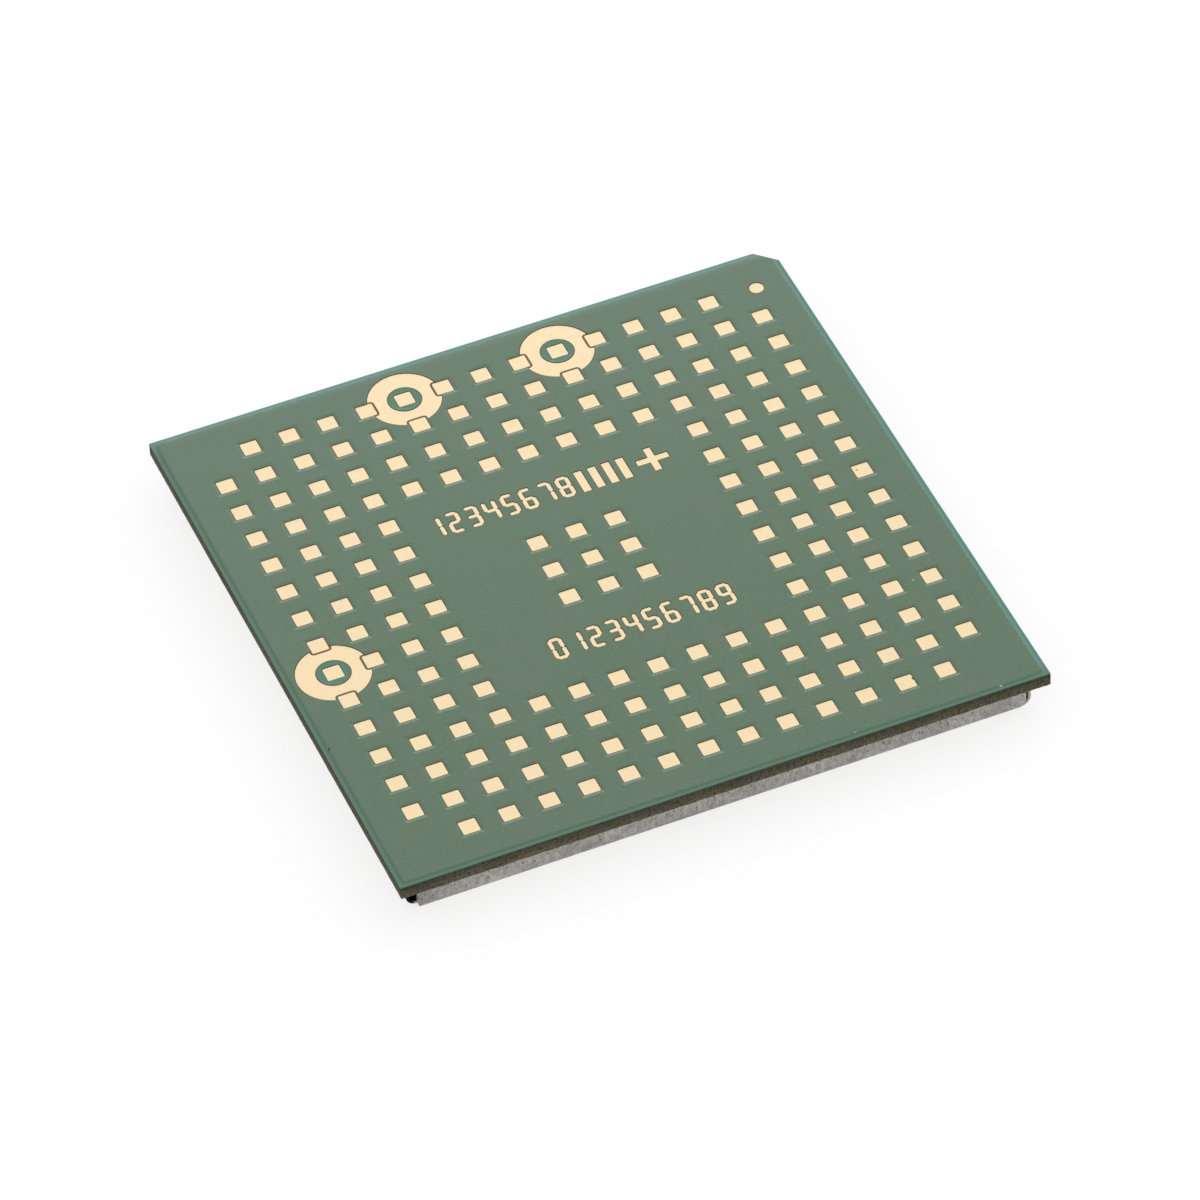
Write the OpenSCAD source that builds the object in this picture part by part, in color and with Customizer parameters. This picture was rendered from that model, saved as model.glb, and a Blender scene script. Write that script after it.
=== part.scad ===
// Square land-grid cellular module, land side up, resting on the lid of its shield can.
// X runs along the rows of lands, Y to the edge with two antenna lands, Z up out of the lands.
// The origin lies under the middle of the lid. All sizes are in millimetres.

/* [Board] */
// Distance from the middle of the outermost lands to the board's edge
edge_margin = 2.025; // [1.7:0.005:4]
// Thickness of the bare laminate
laminate_t = 0.53; // [0.3:0.01:0.9]
// Thickness of the mask film on each side
mask_t = 0.04; // [0.03:0.005:0.08]
// Leg of the cut corner
corner_cut = 0.85; // [0.2:0.05:0.9]

/* [Lands] */
// Rows and columns of the land grid
grid_n = 15; // [15:2:19]
// Rows of lands in the frame round the bare field
frame_rows = 4; // [2:1:4]
// Lands along each side of the centre block
centre_n = 3; // [1:2:3]
// Distance from land to land
land_pitch = 1.725; // [1.6:0.005:2.2]
// Side length of a land
land_w = 0.73; // [0.5:0.01:0.85]
// Corner radius of a land
land_r = 0.06; // [0.02:0.01:0.2]
// Height of plated copper above the laminate
copper_t = 0.018; // [0.01:0.002:0.028]
// Gap from exposed copper to the mask round it
mask_gap = 0.03; // [0.01:0.005:0.05]

/* [Antenna lands] */
// Inside diameter of a ground ring
ring_in_d = 1.49; // [1.25:0.01:1.7]
// Outside diameter of a ground ring
ring_out_d = 3.13; // [2.4:0.01:3.4]
// Gap from a ground ring to the lands beside it
ring_gap = 0.105; // [0.06:0.005:0.15]
// Columns from the grid's middle to the two antenna lands of the far row
far_feed_col = 2; // [2:1:4]
// Rows from the grid's middle down to the antenna land of the left column
left_feed_row = 1; // [0:1:4]

/* [Etched marks] */
// Diameter of the orientation dot
dot_d = 0.62; // [0.4:0.01:0.9]
// Distance of the dot outside the last column of lands
dot_shift = 0.48; // [0:0.01:0.7]
// Height of a figure
mark_h = 1.25; // [0.9:0.05:1.5]
// Width of a figure
mark_w = 0.6; // [0.5:0.02:0.66]
// Width of a stroke
stroke_w = 0.17; // [0.12:0.01:0.18]
// Overlap of the strokes of a figure
stroke_lap = 0.02; // [0.01:0.01:0.04]
// Distance from figure to figure
mark_pitch = 0.82; // [0.8:0.01:0.84]
// Distance of the upper row's figures left of the middle
upper_shift = 2.28; // [2:0.01:2.4]
// Distance of the lower row right of the middle
lower_shift = 0.4; // [-1:0.05:1]
// Bars of the etch gauge in the upper row
gauge_n = 4; // [1:1:4]
// Width of a gauge bar
gauge_w = 0.34; // [0.2:0.02:0.36]
// Distance from bar to bar
gauge_pitch = 0.62; // [0.5:0.01:0.64]
// Distance of the gauge right of the middle
gauge_shift = 2.29; // [2.2:0.01:2.4]
// Span of the register cross in the upper row
cross_w = 1.4; // [1:0.05:1.6]
// Width of the cross's arms
cross_arm = 0.3; // [0.2:0.02:0.4]
// Distance of the cross right of the middle
cross_shift = 4.5; // [4.4:0.01:4.8]

/* [Wear] */
// Distance of the nick in the mask from the board's left edge
nick_inset = 0.25; // [0.2:0.01:0.6]
// Place of the nick along the left edge, from the middle
nick_y = -5.76; // [-10:0.01:-4]
// Length of the nick
nick_l = 0.34; // [0.1:0.01:0.35]
// Width of the nick at its middle
nick_w = 0.09; // [0.03:0.01:0.12]
// Slant of the nick from the X axis
nick_turn = 63; // [0:1:90]
// Diameter of the bite in one land's right side
bite_d = 0.13; // [0.05:0.01:0.2]
// Height of the bite above that land's middle
bite_y = 0.085; // [-0.2:0.005:0.2]

/* [Shield can] */
// Height from the lid's outside to the board
can_h = 1.59; // [1.5:0.01:2.4]
// Distance from the board's edge to the can's walls
can_inset = 0.52; // [0.35:0.01:0.8]
// Thickness of the sheet
sheet_t = 0.12; // [0.08:0.01:0.2]
// Outside radius of the bends round the lid
bend_r = 0.45; // [0.35:0.01:0.6]
// Distance from a side wall's outside to the end of the front and back flaps
flap_end = 0.33; // [0.25:0.01:0.35]
// Mean distance from the front and back walls' outsides to the ends of the side flaps
side_end = 0.38; // [0.36:0.01:0.6]
// Shift of each side flap towards its left-hand end, seen from outside
side_shift = 0.1; // [0:0.01:0.1]
// Radius of the lower left corner of the front and back flaps, seen from outside
flap_left_r = 0.5; // [0.2:0.01:0.6]
// Radius of the lower right corner of the front and back flaps, seen from outside
flap_right_r = 0.72; // [0.55:0.01:0.8]
// Width of the copper track under the rim
track_w = 0.5; // [0.35:0.01:0.55]
// Distance from the board's cut corner to the track
track_back = 0.15; // [0.1:0.01:0.2]
// Width of the solder seam on the track
seam_w = 0.3; // [0.22:0.01:0.34]

/* [Ball-grid packages] */
// Side length of the baseband processor
processor_w = 8.5; // [6:0.1:9]
// Height of the baseband processor
processor_h = 0.9; // [0.5:0.05:1.05]
// Width of the memory package
memory_w = 8; // [6:0.1:9]
// Depth of the memory package
memory_d = 9; // [6:0.1:9.5]
// Height of the memory package
memory_h = 0.8; // [0.5:0.05:1.05]
// Side length of the power manager
manager_w = 5.5; // [4:0.1:6]
// Height of the power manager
manager_h = 0.75; // [0.5:0.05:1.05]
// Side length of the radio transceiver
transceiver_w = 5.4; // [4:0.1:6]
// Height of the radio transceiver
transceiver_h = 0.7; // [0.5:0.05:1.05]
// Distance from ball to ball
ball_pitch = 1; // [0.8:0.05:1.2]
// Diameter of a solder ball
ball_d = 0.42; // [0.35:0.01:0.5]
// Height of a solder ball between board and package
ball_h = 0.25; // [0.15:0.01:0.3]
// Least distance from a package's edge to a ball's middle
ball_margin = 0.6; // [0.4:0.05:1]
// Side length of the soft pad between processor and lid
heat_pad_w = 7; // [4:0.1:8]

/* [Land-type packages] */
// Width of a power amplifier
amplifier_w = 4; // [3:0.1:4.5]
// Depth of a power amplifier
amplifier_d = 3; // [2:0.1:3.5]
// Height of a power amplifier
amplifier_h = 0.78; // [0.5:0.02:1]
// Side length of the antenna switch
switch_w = 3; // [2:0.1:3.5]
// Height of the antenna switch
switch_h = 0.7; // [0.4:0.05:1]
// Width of a duplexer
duplexer_w = 1.8; // [1.4:0.1:2]
// Depth of a duplexer
duplexer_d = 1.4; // [1.1:0.1:2]
// Height of a duplexer
duplexer_h = 0.6; // [0.4:0.05:1]
// Width of a receive filter
filter_w = 1.4; // [1:0.1:1.6]
// Depth of a receive filter
filter_d = 1.1; // [1:0.1:1.6]
// Height of a receive filter
filter_h = 0.5; // [0.3:0.05:1]
// Width of the positioning amplifier
locator_w = 1.5; // [1:0.1:2]
// Depth of the positioning amplifier
locator_d = 1.1; // [1:0.1:2]
// Height of the positioning amplifier
locator_h = 0.55; // [0.3:0.05:1]
// Width of the reference oscillator
oscillator_w = 2.5; // [2:0.1:3.2]
// Depth of the reference oscillator
oscillator_d = 2; // [1.6:0.1:2.5]
// Height of the oscillator's ceramic base
oscillator_h = 0.6; // [0.3:0.05:0.8]
// Width of the sleep clock crystal
crystal_w = 2; // [1.6:0.1:3.2]
// Depth of the sleep clock crystal
crystal_d = 1.2; // [1:0.1:1.5]
// Height of the crystal's ceramic base
crystal_h = 0.4; // [0.3:0.05:0.8]
// Thickness of the metal lids on oscillator and crystal
seal_lid_t = 0.12; // [0.08:0.01:0.2]
// Step from the edge of a ceramic base to its metal lid
seal_lid_step = 0.1; // [0.05:0.01:0.2]
// Length of a package's solder pad
pad_l = 0.4; // [0.3:0.01:0.45]
// Width of a package's solder pad
pad_w = 0.25; // [0.2:0.01:0.35]
// Distance from pad to pad
pad_pitch = 0.5; // [0.4:0.05:0.8]
// Distance from a package's outline to its pads
pad_inset = 0.08; // [0.03:0.01:0.1]

/* [Chips] */
// Length of a small chip
chip_l = 1; // [0.8:0.05:1.1]
// Width of a small chip
chip_w = 0.5; // [0.3:0.05:0.6]
// Length of each plated end of a small chip
chip_end = 0.25; // [0.1:0.01:0.3]
// Height of a small capacitor
capacitor_h = 0.5; // [0.3:0.05:0.8]
// Height of a resistor
resistor_h = 0.35; // [0.2:0.05:0.6]
// Height of a matching inductor
matching_h = 0.45; // [0.3:0.05:0.8]
// Length of a bulk capacitor
bulk_l = 1.6; // [1.2:0.1:2]
// Width of a bulk capacitor
bulk_w = 0.8; // [0.5:0.05:1]
// Height of a bulk capacitor
bulk_h = 0.8; // [0.5:0.05:1]
// Length of each plated end of a bulk capacitor
bulk_end = 0.35; // [0.2:0.05:0.5]
// Length of a power inductor
inductor_l = 2; // [1.6:0.1:2.5]
// Width of a power inductor
inductor_w = 1.6; // [1.2:0.1:2]
// Height of a power inductor
inductor_h = 1; // [0.6:0.05:1.2]
// Length of each plated end of a power inductor
inductor_end = 0.45; // [0.3:0.05:0.6]
// Bulk capacitors in each of two columns
bulk_n = 4; // [1:1:6]
// Power inductors in each of two columns
inductor_n = 2; // [1:1:3]
// Chips in the row at the antenna edge
matching_n = 6; // [2:1:12]
// Capacitors in each of two rows
decoupling_n = 12; // [4:1:14]
// Resistors in the front row
resistor_n = 10; // [4:1:14]

/* [Assembly] */
// Thickness of the solder under chips and under the can's rim
solder_t = 0.05; // [0.03:0.005:0.1]
// Gap from package to package in a row
part_gap = 0.35; // [0.2:0.01:0.5]
// Gap from row to row
row_gap = 0.5; // [0.3:0.01:0.7]
// Gap from chip to chip in a row
chip_gap = 0.6; // [0.3:0.01:0.7]
// Margin of a mask window round the part in it
window_margin = 0.06; // [0.02:0.01:0.1]

/* [Hidden] */
$fn = 48;
// Straight steps in the round corner of a land
corner_n = 3;
// Cuts that round a flap's corner
flap_cut_n = 8;

// Side length of the square board
board_w = (grid_n - 1) * land_pitch + 2 * edge_margin;

// Levels from the lid up
z_mask_in = can_h;
z_laminate_in = z_mask_in + mask_t;
z_laminate_out = z_laminate_in + laminate_t;
z_pad = z_laminate_in - copper_t;
z_chip = z_pad - solder_t;
z_ball = z_pad - ball_h;

// Land grid: each land is a step [column, row] from the middle
half = (grid_n - 1) / 2;
field = half - frame_rows;
core = (centre_n - 1) / 2;
STEPS = [-half : half];
function reach(p) = max(abs(p[0]), abs(p[1]));
function is_corner(p) = abs(p[0]) == half && abs(p[1]) == half;
FEEDS = [[-far_feed_col, half], [far_feed_col, half], [-half, -left_feed_row]];
function is_feed(p) = len([for (f = FEEDS) if (f == p) f]) > 0;
FRAME = [for (i = STEPS, j = STEPS) if (reach([i, j]) > field && !is_corner([i, j])) [i, j]];
SIGNALS = [for (p = FRAME) if (!is_feed(p)) p];
CENTRE = [for (i = STEPS, j = STEPS) if (reach([i, j]) <= core) [i, j]];
BITTEN = [half - 2, -half];

// Etched marks stand midway between the centre block and the frame
mark_y = (core + field + 1) / 2 * land_pitch;
dot_at = [half * land_pitch + dot_shift, half * land_pitch];

// Plain counts in the two rows
UPPER = "12345678";
LOWER = "0123456789";
// Strokes of each figure from 0 up: a top, b to f clockwise, g middle
LIT = ["abcdef", "bc", "abged", "abgcd", "fgbc", "afgcd", "afgedc", "abc", "abcdefg", "abcdfg"];
// Ends of the strokes a to g, in half widths and half heights of a figure
TIPS = [
    [[-1, 1], [1, 1]], [[1, 0], [1, 1]], [[1, -1], [1, 0]], [[-1, -1], [1, -1]],
    [[-1, -1], [-1, 0]], [[-1, 0], [-1, 1]], [[-1, 0], [1, 0]],
];
function lit(sign) = LIT[ord(sign) - ord("0")];
function tips(name) = TIPS[ord(name) - ord("a")];

// Shield can
can_w = board_w - 2 * can_inset;
lid_w = can_w - 2 * bend_r;
rim_w = can_w - sheet_t;

// Packages as [width, depth, height]
PROCESSOR = [processor_w, processor_w, processor_h];
MEMORY = [memory_w, memory_d, memory_h];
MANAGER = [manager_w, manager_w, manager_h];
TRANSCEIVER = [transceiver_w, transceiver_w, transceiver_h];
AMPLIFIER = [amplifier_w, amplifier_d, amplifier_h];
SWITCH = [switch_w, switch_w, switch_h];
DUPLEXER = [duplexer_w, duplexer_d, duplexer_h];
FILTER = [filter_w, filter_d, filter_h];
LOCATOR = [locator_w, locator_d, locator_h];
OSCILLATOR = [oscillator_w, oscillator_d, oscillator_h];
CRYSTAL = [crystal_w, crystal_d, crystal_h];
COIL_COLUMN = [inductor_l, inductor_n * (inductor_w + part_gap) - part_gap, inductor_h];
BULK_COLUMN = [bulk_l, bulk_n * (bulk_w + part_gap) - part_gap, bulk_h];

// Bands of packages from left to right
COMPUTE = [MEMORY, PROCESSOR, BULK_COLUMN, BULK_COLUMN];
RADIO = [LOCATOR, CRYSTAL, OSCILLATOR, TRANSCEIVER, MANAGER, COIL_COLUMN, COIL_COLUMN];
FRONT_END = [FILTER, AMPLIFIER, DUPLEXER, DUPLEXER, SWITCH, DUPLEXER, DUPLEXER, AMPLIFIER, FILTER];

// Middles of sizes that stand in a line with one gap, centred on zero
function total(sizes, n) = n == 0 ? 0 : sizes[n - 1] + total(sizes, n - 1);
function line_l(sizes, gap) = total(sizes, len(sizes)) + (len(sizes) - 1) * gap;
function middle(sizes, gap, i) = total(sizes, i) + i * gap + sizes[i] / 2 - line_l(sizes, gap) / 2;
function widths(band) = [for (p = band) p[0]];
function depth(band) = max([for (p = band) p[1]]);

// Rows from the front edge to the antenna edge: chips, then packages, in turn
ROWS = [chip_w, depth(COMPUTE), chip_w, depth(RADIO), chip_w, depth(FRONT_END), chip_w];
ROWS_Y = [for (i = [0 : len(ROWS) - 1]) middle(ROWS, row_gap, i)];
compute_y = ROWS_Y[1];
radio_y = ROWS_Y[3];
front_end_y = ROWS_Y[5];
function in_band(band, i, y) = [middle(widths(band), part_gap, i), y];
function in_column(foot, size, n) =
    [for (i = [0 : n - 1]) foot + [0, (i - (n - 1) / 2) * (size + part_gap)]];
function chip_row(n, y) = [for (i = [0 : n - 1]) [(i - (n - 1) / 2) * (chip_l + chip_gap), y]];

// Places of packages, as the bands give them
memory_at = in_band(COMPUTE, 0, compute_y);
processor_at = in_band(COMPUTE, 1, compute_y);
locator_at = in_band(RADIO, 0, radio_y);
crystal_at = in_band(RADIO, 1, radio_y);
oscillator_at = in_band(RADIO, 2, radio_y);
transceiver_at = in_band(RADIO, 3, radio_y);
manager_at = in_band(RADIO, 4, radio_y);
high_amplifier_at = in_band(FRONT_END, 1, front_end_y);
switch_at = in_band(FRONT_END, 4, front_end_y);
low_amplifier_at = in_band(FRONT_END, 7, front_end_y);
DUPLEXERS_AT = [for (i = [2, 3, 5, 6]) in_band(FRONT_END, i, front_end_y)];
FILTERS_AT = [for (i = [0, 8]) in_band(FRONT_END, i, front_end_y)];
BULKS_AT = [for (i = [2, 3]) each in_column(in_band(COMPUTE, i, compute_y), bulk_w, bulk_n)];
INDUCTORS_AT = [for (i = [5, 6]) each in_column(in_band(RADIO, i, radio_y), inductor_w, inductor_n)];
RESISTORS_AT = chip_row(resistor_n, ROWS_Y[0]);
DECOUPLING_AT = concat(chip_row(decoupling_n, ROWS_Y[2]), chip_row(decoupling_n, ROWS_Y[4]));
MATCHING_AT = chip_row(matching_n, ROWS_Y[6]);

// Soldered parts as [place, size]; a chip's size ends with the length of its plated ends
BALL_PARTS = [
    [processor_at, PROCESSOR],
    [memory_at, MEMORY],
    [manager_at, MANAGER],
    [transceiver_at, TRANSCEIVER]
];
PAD_PARTS = concat(
    [[high_amplifier_at, AMPLIFIER], [low_amplifier_at, AMPLIFIER], [switch_at, SWITCH]],
    [[locator_at, LOCATOR], [oscillator_at, OSCILLATOR], [crystal_at, CRYSTAL]],
    [for (p = DUPLEXERS_AT) [p, DUPLEXER]],
    [for (p = FILTERS_AT) [p, FILTER]]
);
CAPACITOR = [chip_l, chip_w, capacitor_h, chip_end];
RESISTOR = [chip_l, chip_w, resistor_h, chip_end];
MATCHING = [chip_l, chip_w, matching_h, chip_end];
BULK = [bulk_l, bulk_w, bulk_h, bulk_end];
INDUCTOR = [inductor_l, inductor_w, inductor_h, inductor_end];
CHIPS = concat(
    [for (p = RESISTORS_AT) [p, RESISTOR]],
    [for (p = DECOUPLING_AT) [p, CAPACITOR]],
    [for (p = MATCHING_AT) [p, MATCHING]],
    [for (p = BULKS_AT) [p, BULK]],
    [for (p = INDUCTORS_AT) [p, INDUCTOR]]
);

// Places of a package's balls, of its pads and of a chip's plated ends
function count(room, pitch) = floor(room / pitch) + 1;
function line_at(n, pitch) = [for (i = [0 : n - 1]) (i - (n - 1) / 2) * pitch];
function balls(part) = [
    for (
        x = line_at(count(part[1][0] - 2 * ball_margin, ball_pitch), ball_pitch),
        y = line_at(count(part[1][1] - 2 * ball_margin, ball_pitch), ball_pitch)
    ) part[0] + [x, y]
];
function pads(part) = [
    for (
        x = line_at(count(part[1][0] - pad_w - 2 * pad_inset, pad_pitch), pad_pitch),
        side = [-1, 1]
    ) part[0] + [x, side * (part[1][1] / 2 - pad_inset - pad_l / 2)]
];
function ends(chip) = [for (side = [-1, 1]) chip[0] + [side * (chip[1][0] - chip[1][3]) / 2, 0]];

// Shapes that repeat

// Box with its middle over a place and its foot at a level
module block(at, size, z) {
    translate([at[0] - size[0] / 2, at[1] - size[1] / 2, z])
        cube([size[0], size[1], size[2]]);
}

// Package or chip body that hangs from its seat
module hung(at, size, seat) {
    block(at, size, seat - size[2]);
}

// Ceramic chip body between its plated ends
module chip_bodies(places, size) {
    for (p = places)
        hung(p, [size[0] - 2 * size[3], size[1], size[2]], z_chip);
}

// Square with round corners about the origin
module rounded_square(w, r) {
    polygon([
        for (q = [0 : 3], k = [0 : corner_n])
            let (a = 90 * (q + k / corner_n), m = 90 * q + 45)
                (w / 2 - r) * [sign(cos(m)), sign(sin(m))] + r * [cos(a), sin(a)]
    ]);
}

// Square about the origin with one cut corner
module cut_square(w, cut) {
    e = w / 2;
    polygon([[-e, -e], [e, -e], [e, e - cut], [e - cut, e], [-e, e]]);
}

// Board outline with its cut corner
module board_outline() {
    cut_square(board_w, corner_cut);
}

// Frame along the can's rim, both ways from its middle line, cut back where the board's corner is cut
module rim_frame(w) {
    back = track_back + (track_w - w) / 2;
    cut = rim_w + w - board_w + corner_cut + sqrt(2) * back;
    difference() {
        cut_square(rim_w + w, max(mask_gap, cut));
        square(rim_w - w, center = true);
    }
}

// Square openings or lands at grid steps, grown by a gap
module land_squares(steps, gap) {
    for (p = steps)
        translate(land_pitch * p)
            rounded_square(land_w + 2 * gap, land_r + gap);
}

// Discs at the antenna lands
module feed_discs(d) {
    for (p = FEEDS)
        translate(land_pitch * p)
            circle(d = d);
}

// One stroke with pointed ends, grown by a gap
module stroke(a, b, gap) {
    along = (b - a) / norm(b - a);
    across = [-along[1], along[0]];
    s = stroke_w / 2 + gap;
    tip = sqrt(2) * (gap + stroke_lap / 2) * along;
    p = a - tip;
    q = b + tip;
    polygon([
        p, p + s * (along - across), q - s * (along + across),
        q, q + s * (across - along), p + s * (along + across),
    ]);
}

// Figures in a row about the origin, grown by a gap
module figure_row(signs, gap) {
    size = [mark_w - stroke_w, mark_h - stroke_w] / 2;
    for (i = [0 : len(signs) - 1])
        translate([(i - (len(signs) - 1) / 2) * mark_pitch, 0])
            for (name = lit(signs[i]))
                stroke(
                    [for (k = [0, 1]) size[k] * tips(name)[0][k]],
                    [for (k = [0, 1]) size[k] * tips(name)[1][k]],
                    gap
                );
}

// Bars that show how far the etching went, grown by a gap
module etch_gauge(gap) {
    for (i = [0 : gauge_n - 1])
        translate([(i - (gauge_n - 1) / 2) * gauge_pitch, 0])
            square([gauge_w, mark_h] + 2 * gap * [1, 1], center = true);
}

// Plain upright cross, grown by a gap
module register_cross(gap) {
    for (turn = [0, 90])
        rotate(turn)
            square([cross_w, cross_arm] + 2 * gap * [1, 1], center = true);
}

// Marks above and below the centre block, grown by a gap
module marks(gap) {
    translate([-upper_shift, mark_y])
        figure_row(UPPER, gap);
    translate([gauge_shift, mark_y])
        etch_gauge(gap);
    translate([cross_shift, mark_y])
        register_cross(gap);
    translate([lower_shift, -mark_y])
        figure_row(LOWER, gap);
}

// Scratch through the mask, pointed at both ends
module nick() {
    translate([nick_inset - board_w / 2, nick_y])
        rotate(nick_turn)
            polygon([[-nick_l / 2, 0], [0, -nick_w / 2], [nick_l / 2, 0], [0, nick_w / 2]]);
}

// Quarter bend and wall of one flap: x runs out from the bend line, y up the wall
module flap_section() {
    intersection() {
        translate([0, bend_r])
            difference() {
                circle(bend_r);
                circle(bend_r - sheet_t);
            }
        square(bend_r);
    }
    translate([bend_r - sheet_t, bend_r])
        square([sheet_t, z_chip - bend_r]);
}

// One flap on the lid's right side
module flap(l) {
    translate([lid_w / 2, 0, 0])
        rotate([90, 0, 0])
            linear_extrude(l, center = true)
                flap_section();
}

// Round cut at a flap's end, from the bend up the wall
function round_end(end_x, r) = [
    for (k = [0 : flap_cut_n])
        let (a = 90 * k / flap_cut_n)
            [end_x - sign(end_x) * r * (1 - sin(a)), r * (1 - cos(a))]
];

// Outline of a flap with two round cuts at the bend: x runs along the flap, y up the wall
module flap_outline(l) {
    left = round_end(-l / 2, flap_left_r);
    polygon(concat(
        round_end(l / 2, flap_right_r),
        [[l / 2, can_h], [-l / 2, can_h]],
        [for (k = [flap_cut_n : -1 : 0]) left[k]]
    ));
}

// Plated copper on the land side
module plating() {
    translate([0, 0, z_laminate_out])
        linear_extrude(copper_t)
            children();
}

// Sub-parts

module board_laminate() {
    color("darkolivegreen")
        translate([0, 0, z_laminate_in])
            linear_extrude(laminate_t)
                board_outline();
}

module land_side_mask() {
    color("seagreen")
        translate([0, 0, z_laminate_out])
            linear_extrude(mask_t) {
                difference() {
                    board_outline();
                    land_squares(SIGNALS, mask_gap);
                    land_squares(CENTRE, mask_gap);
                    feed_discs(ring_out_d + 2 * mask_gap);
                    translate(dot_at)
                        circle(d = dot_d + 2 * mask_gap);
                    marks(mask_gap);
                    nick();
                }
                difference() {
                    feed_discs(ring_in_d - 2 * mask_gap);
                    land_squares(FEEDS, mask_gap);
                }
            }
}

module component_side_mask() {
    color("seagreen")
        translate([0, 0, z_mask_in])
            linear_extrude(mask_t)
                difference() {
                    board_outline();
                    rim_frame(track_w + 2 * mask_gap);
                    for (part = concat(BALL_PARTS, PAD_PARTS, CHIPS))
                        translate(part[0])
                            square(
                                [part[1][0], part[1][1]] + 2 * window_margin * [1, 1],
                                center = true
                            );
                }
}

module signal_lands() {
    color("wheat")
        plating()
            difference() {
                land_squares(SIGNALS, 0);
                translate(land_pitch * BITTEN + [land_w / 2, bite_y])
                    circle(d = bite_d);
            }
}

module centre_lands() {
    color("wheat")
        plating()
            land_squares(CENTRE, 0);
}

module antenna_feed_lands() {
    color("wheat")
        plating()
            land_squares(FEEDS, 0);
}

module antenna_ground_rings() {
    color("wheat")
        plating()
            difference() {
                feed_discs(ring_out_d);
                feed_discs(ring_in_d);
                land_squares(SIGNALS, ring_gap);
            }
}

module orientation_dot() {
    color("wheat")
        plating()
            translate(dot_at)
                circle(d = dot_d);
}

module etched_marks() {
    color("wheat")
        plating()
            marks(0);
}

module shield_can() {
    front_l = can_w - 2 * flap_end;
    color("silver") {
        block([0, 0], [lid_w, lid_w, sheet_t], 0);
        for (turn = [0, 180])
            rotate(turn)
                translate([0, -side_shift, 0])
                    flap(can_w - 2 * side_end);
        for (turn = [90, 270])
            rotate(turn)
                intersection() {
                    flap(front_l);
                    translate([lid_w / 2, 0, 0])
                        rotate([90, 0, 90])
                            linear_extrude(2 * bend_r, center = true)
                                flap_outline(front_l);
                }
    }
}

module shield_track() {
    color("peru")
        translate([0, 0, z_pad])
            linear_extrude(copper_t)
                rim_frame(track_w);
}

module can_solder_seam() {
    color("gainsboro")
        translate([0, 0, z_chip])
            linear_extrude(solder_t)
                rim_frame(seam_w);
}

module component_pads() {
    ball_pad_d = sqrt(ball_d * ball_d - ball_h * ball_h);
    color("peru") {
        for (part = BALL_PARTS, p = balls(part))
            translate([p[0], p[1], z_pad])
                cylinder(h = copper_t, d = ball_pad_d);
        for (part = PAD_PARTS, p = pads(part))
            block(p, [pad_w, pad_l, copper_t], z_pad);
        for (chip = CHIPS, p = ends(chip))
            block(p, [chip[1][3], chip[1][1], copper_t], z_pad);
    }
}

module solder_joints() {
    color("gainsboro") {
        for (part = PAD_PARTS, p = pads(part))
            hung(p, [pad_w, pad_l, solder_t], z_pad);
        for (chip = CHIPS, p = ends(chip))
            hung(p, [chip[1][3], chip[1][1], solder_t], z_pad);
    }
}

module solder_balls() {
    color("gainsboro")
        for (part = BALL_PARTS, p = balls(part))
            translate([p[0], p[1], z_pad - ball_h / 2])
                intersection() {
                    sphere(d = ball_d);
                    cube([ball_d, ball_d, ball_h], center = true);
                }
}

module baseband_processor() {
    color("dimgray")
        hung(processor_at, PROCESSOR, z_ball);
}

module memory_package() {
    color("dimgray")
        hung(memory_at, MEMORY, z_ball);
}

module power_manager() {
    color("dimgray")
        hung(manager_at, MANAGER, z_ball);
}

module radio_transceiver() {
    color("dimgray")
        hung(transceiver_at, TRANSCEIVER, z_ball);
}

module high_band_amplifier() {
    color("dimgray")
        hung(high_amplifier_at, AMPLIFIER, z_chip);
}

module low_band_amplifier() {
    color("dimgray")
        hung(low_amplifier_at, AMPLIFIER, z_chip);
}

module antenna_switch() {
    color("dimgray")
        hung(switch_at, SWITCH, z_chip);
}

module duplexers() {
    color("dimgray")
        for (p = DUPLEXERS_AT)
            hung(p, DUPLEXER, z_chip);
}

module receive_filters() {
    color("dimgray")
        for (p = FILTERS_AT)
            hung(p, FILTER, z_chip);
}

module positioning_amplifier() {
    color("dimgray")
        hung(locator_at, LOCATOR, z_chip);
}

// Metal lid on a ceramic base
module seal_lid(at, base) {
    step = 2 * seal_lid_step;
    hung(at, [base[0] - step, base[1] - step, seal_lid_t], z_chip - base[2]);
}

module oscillator_base() {
    color("ivory")
        hung(oscillator_at, OSCILLATOR, z_chip);
}

module oscillator_lid() {
    color("gold")
        seal_lid(oscillator_at, OSCILLATOR);
}

module crystal_base() {
    color("ivory")
        hung(crystal_at, CRYSTAL, z_chip);
}

module crystal_lid() {
    color("gold")
        seal_lid(crystal_at, CRYSTAL);
}

module power_inductors() {
    color("gray")
        chip_bodies(INDUCTORS_AT, INDUCTOR);
}

module bulk_capacitors() {
    color("tan")
        chip_bodies(BULKS_AT, BULK);
}

module decoupling_capacitors() {
    color("tan")
        chip_bodies(DECOUPLING_AT, CAPACITOR);
}

module chip_resistors() {
    color("black")
        chip_bodies(RESISTORS_AT, RESISTOR);
}

module matching_inductors() {
    color("lightgray")
        chip_bodies(MATCHING_AT, MATCHING);
}

module chip_terminals() {
    color("gainsboro")
        for (chip = CHIPS, p = ends(chip))
            hung(p, [chip[1][3], chip[1][1], chip[1][2]], z_chip);
}

module heat_pad() {
    color("lightblue")
        block(processor_at, [heat_pad_w, heat_pad_w, z_ball - processor_h - sheet_t], sheet_t);
}

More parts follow.
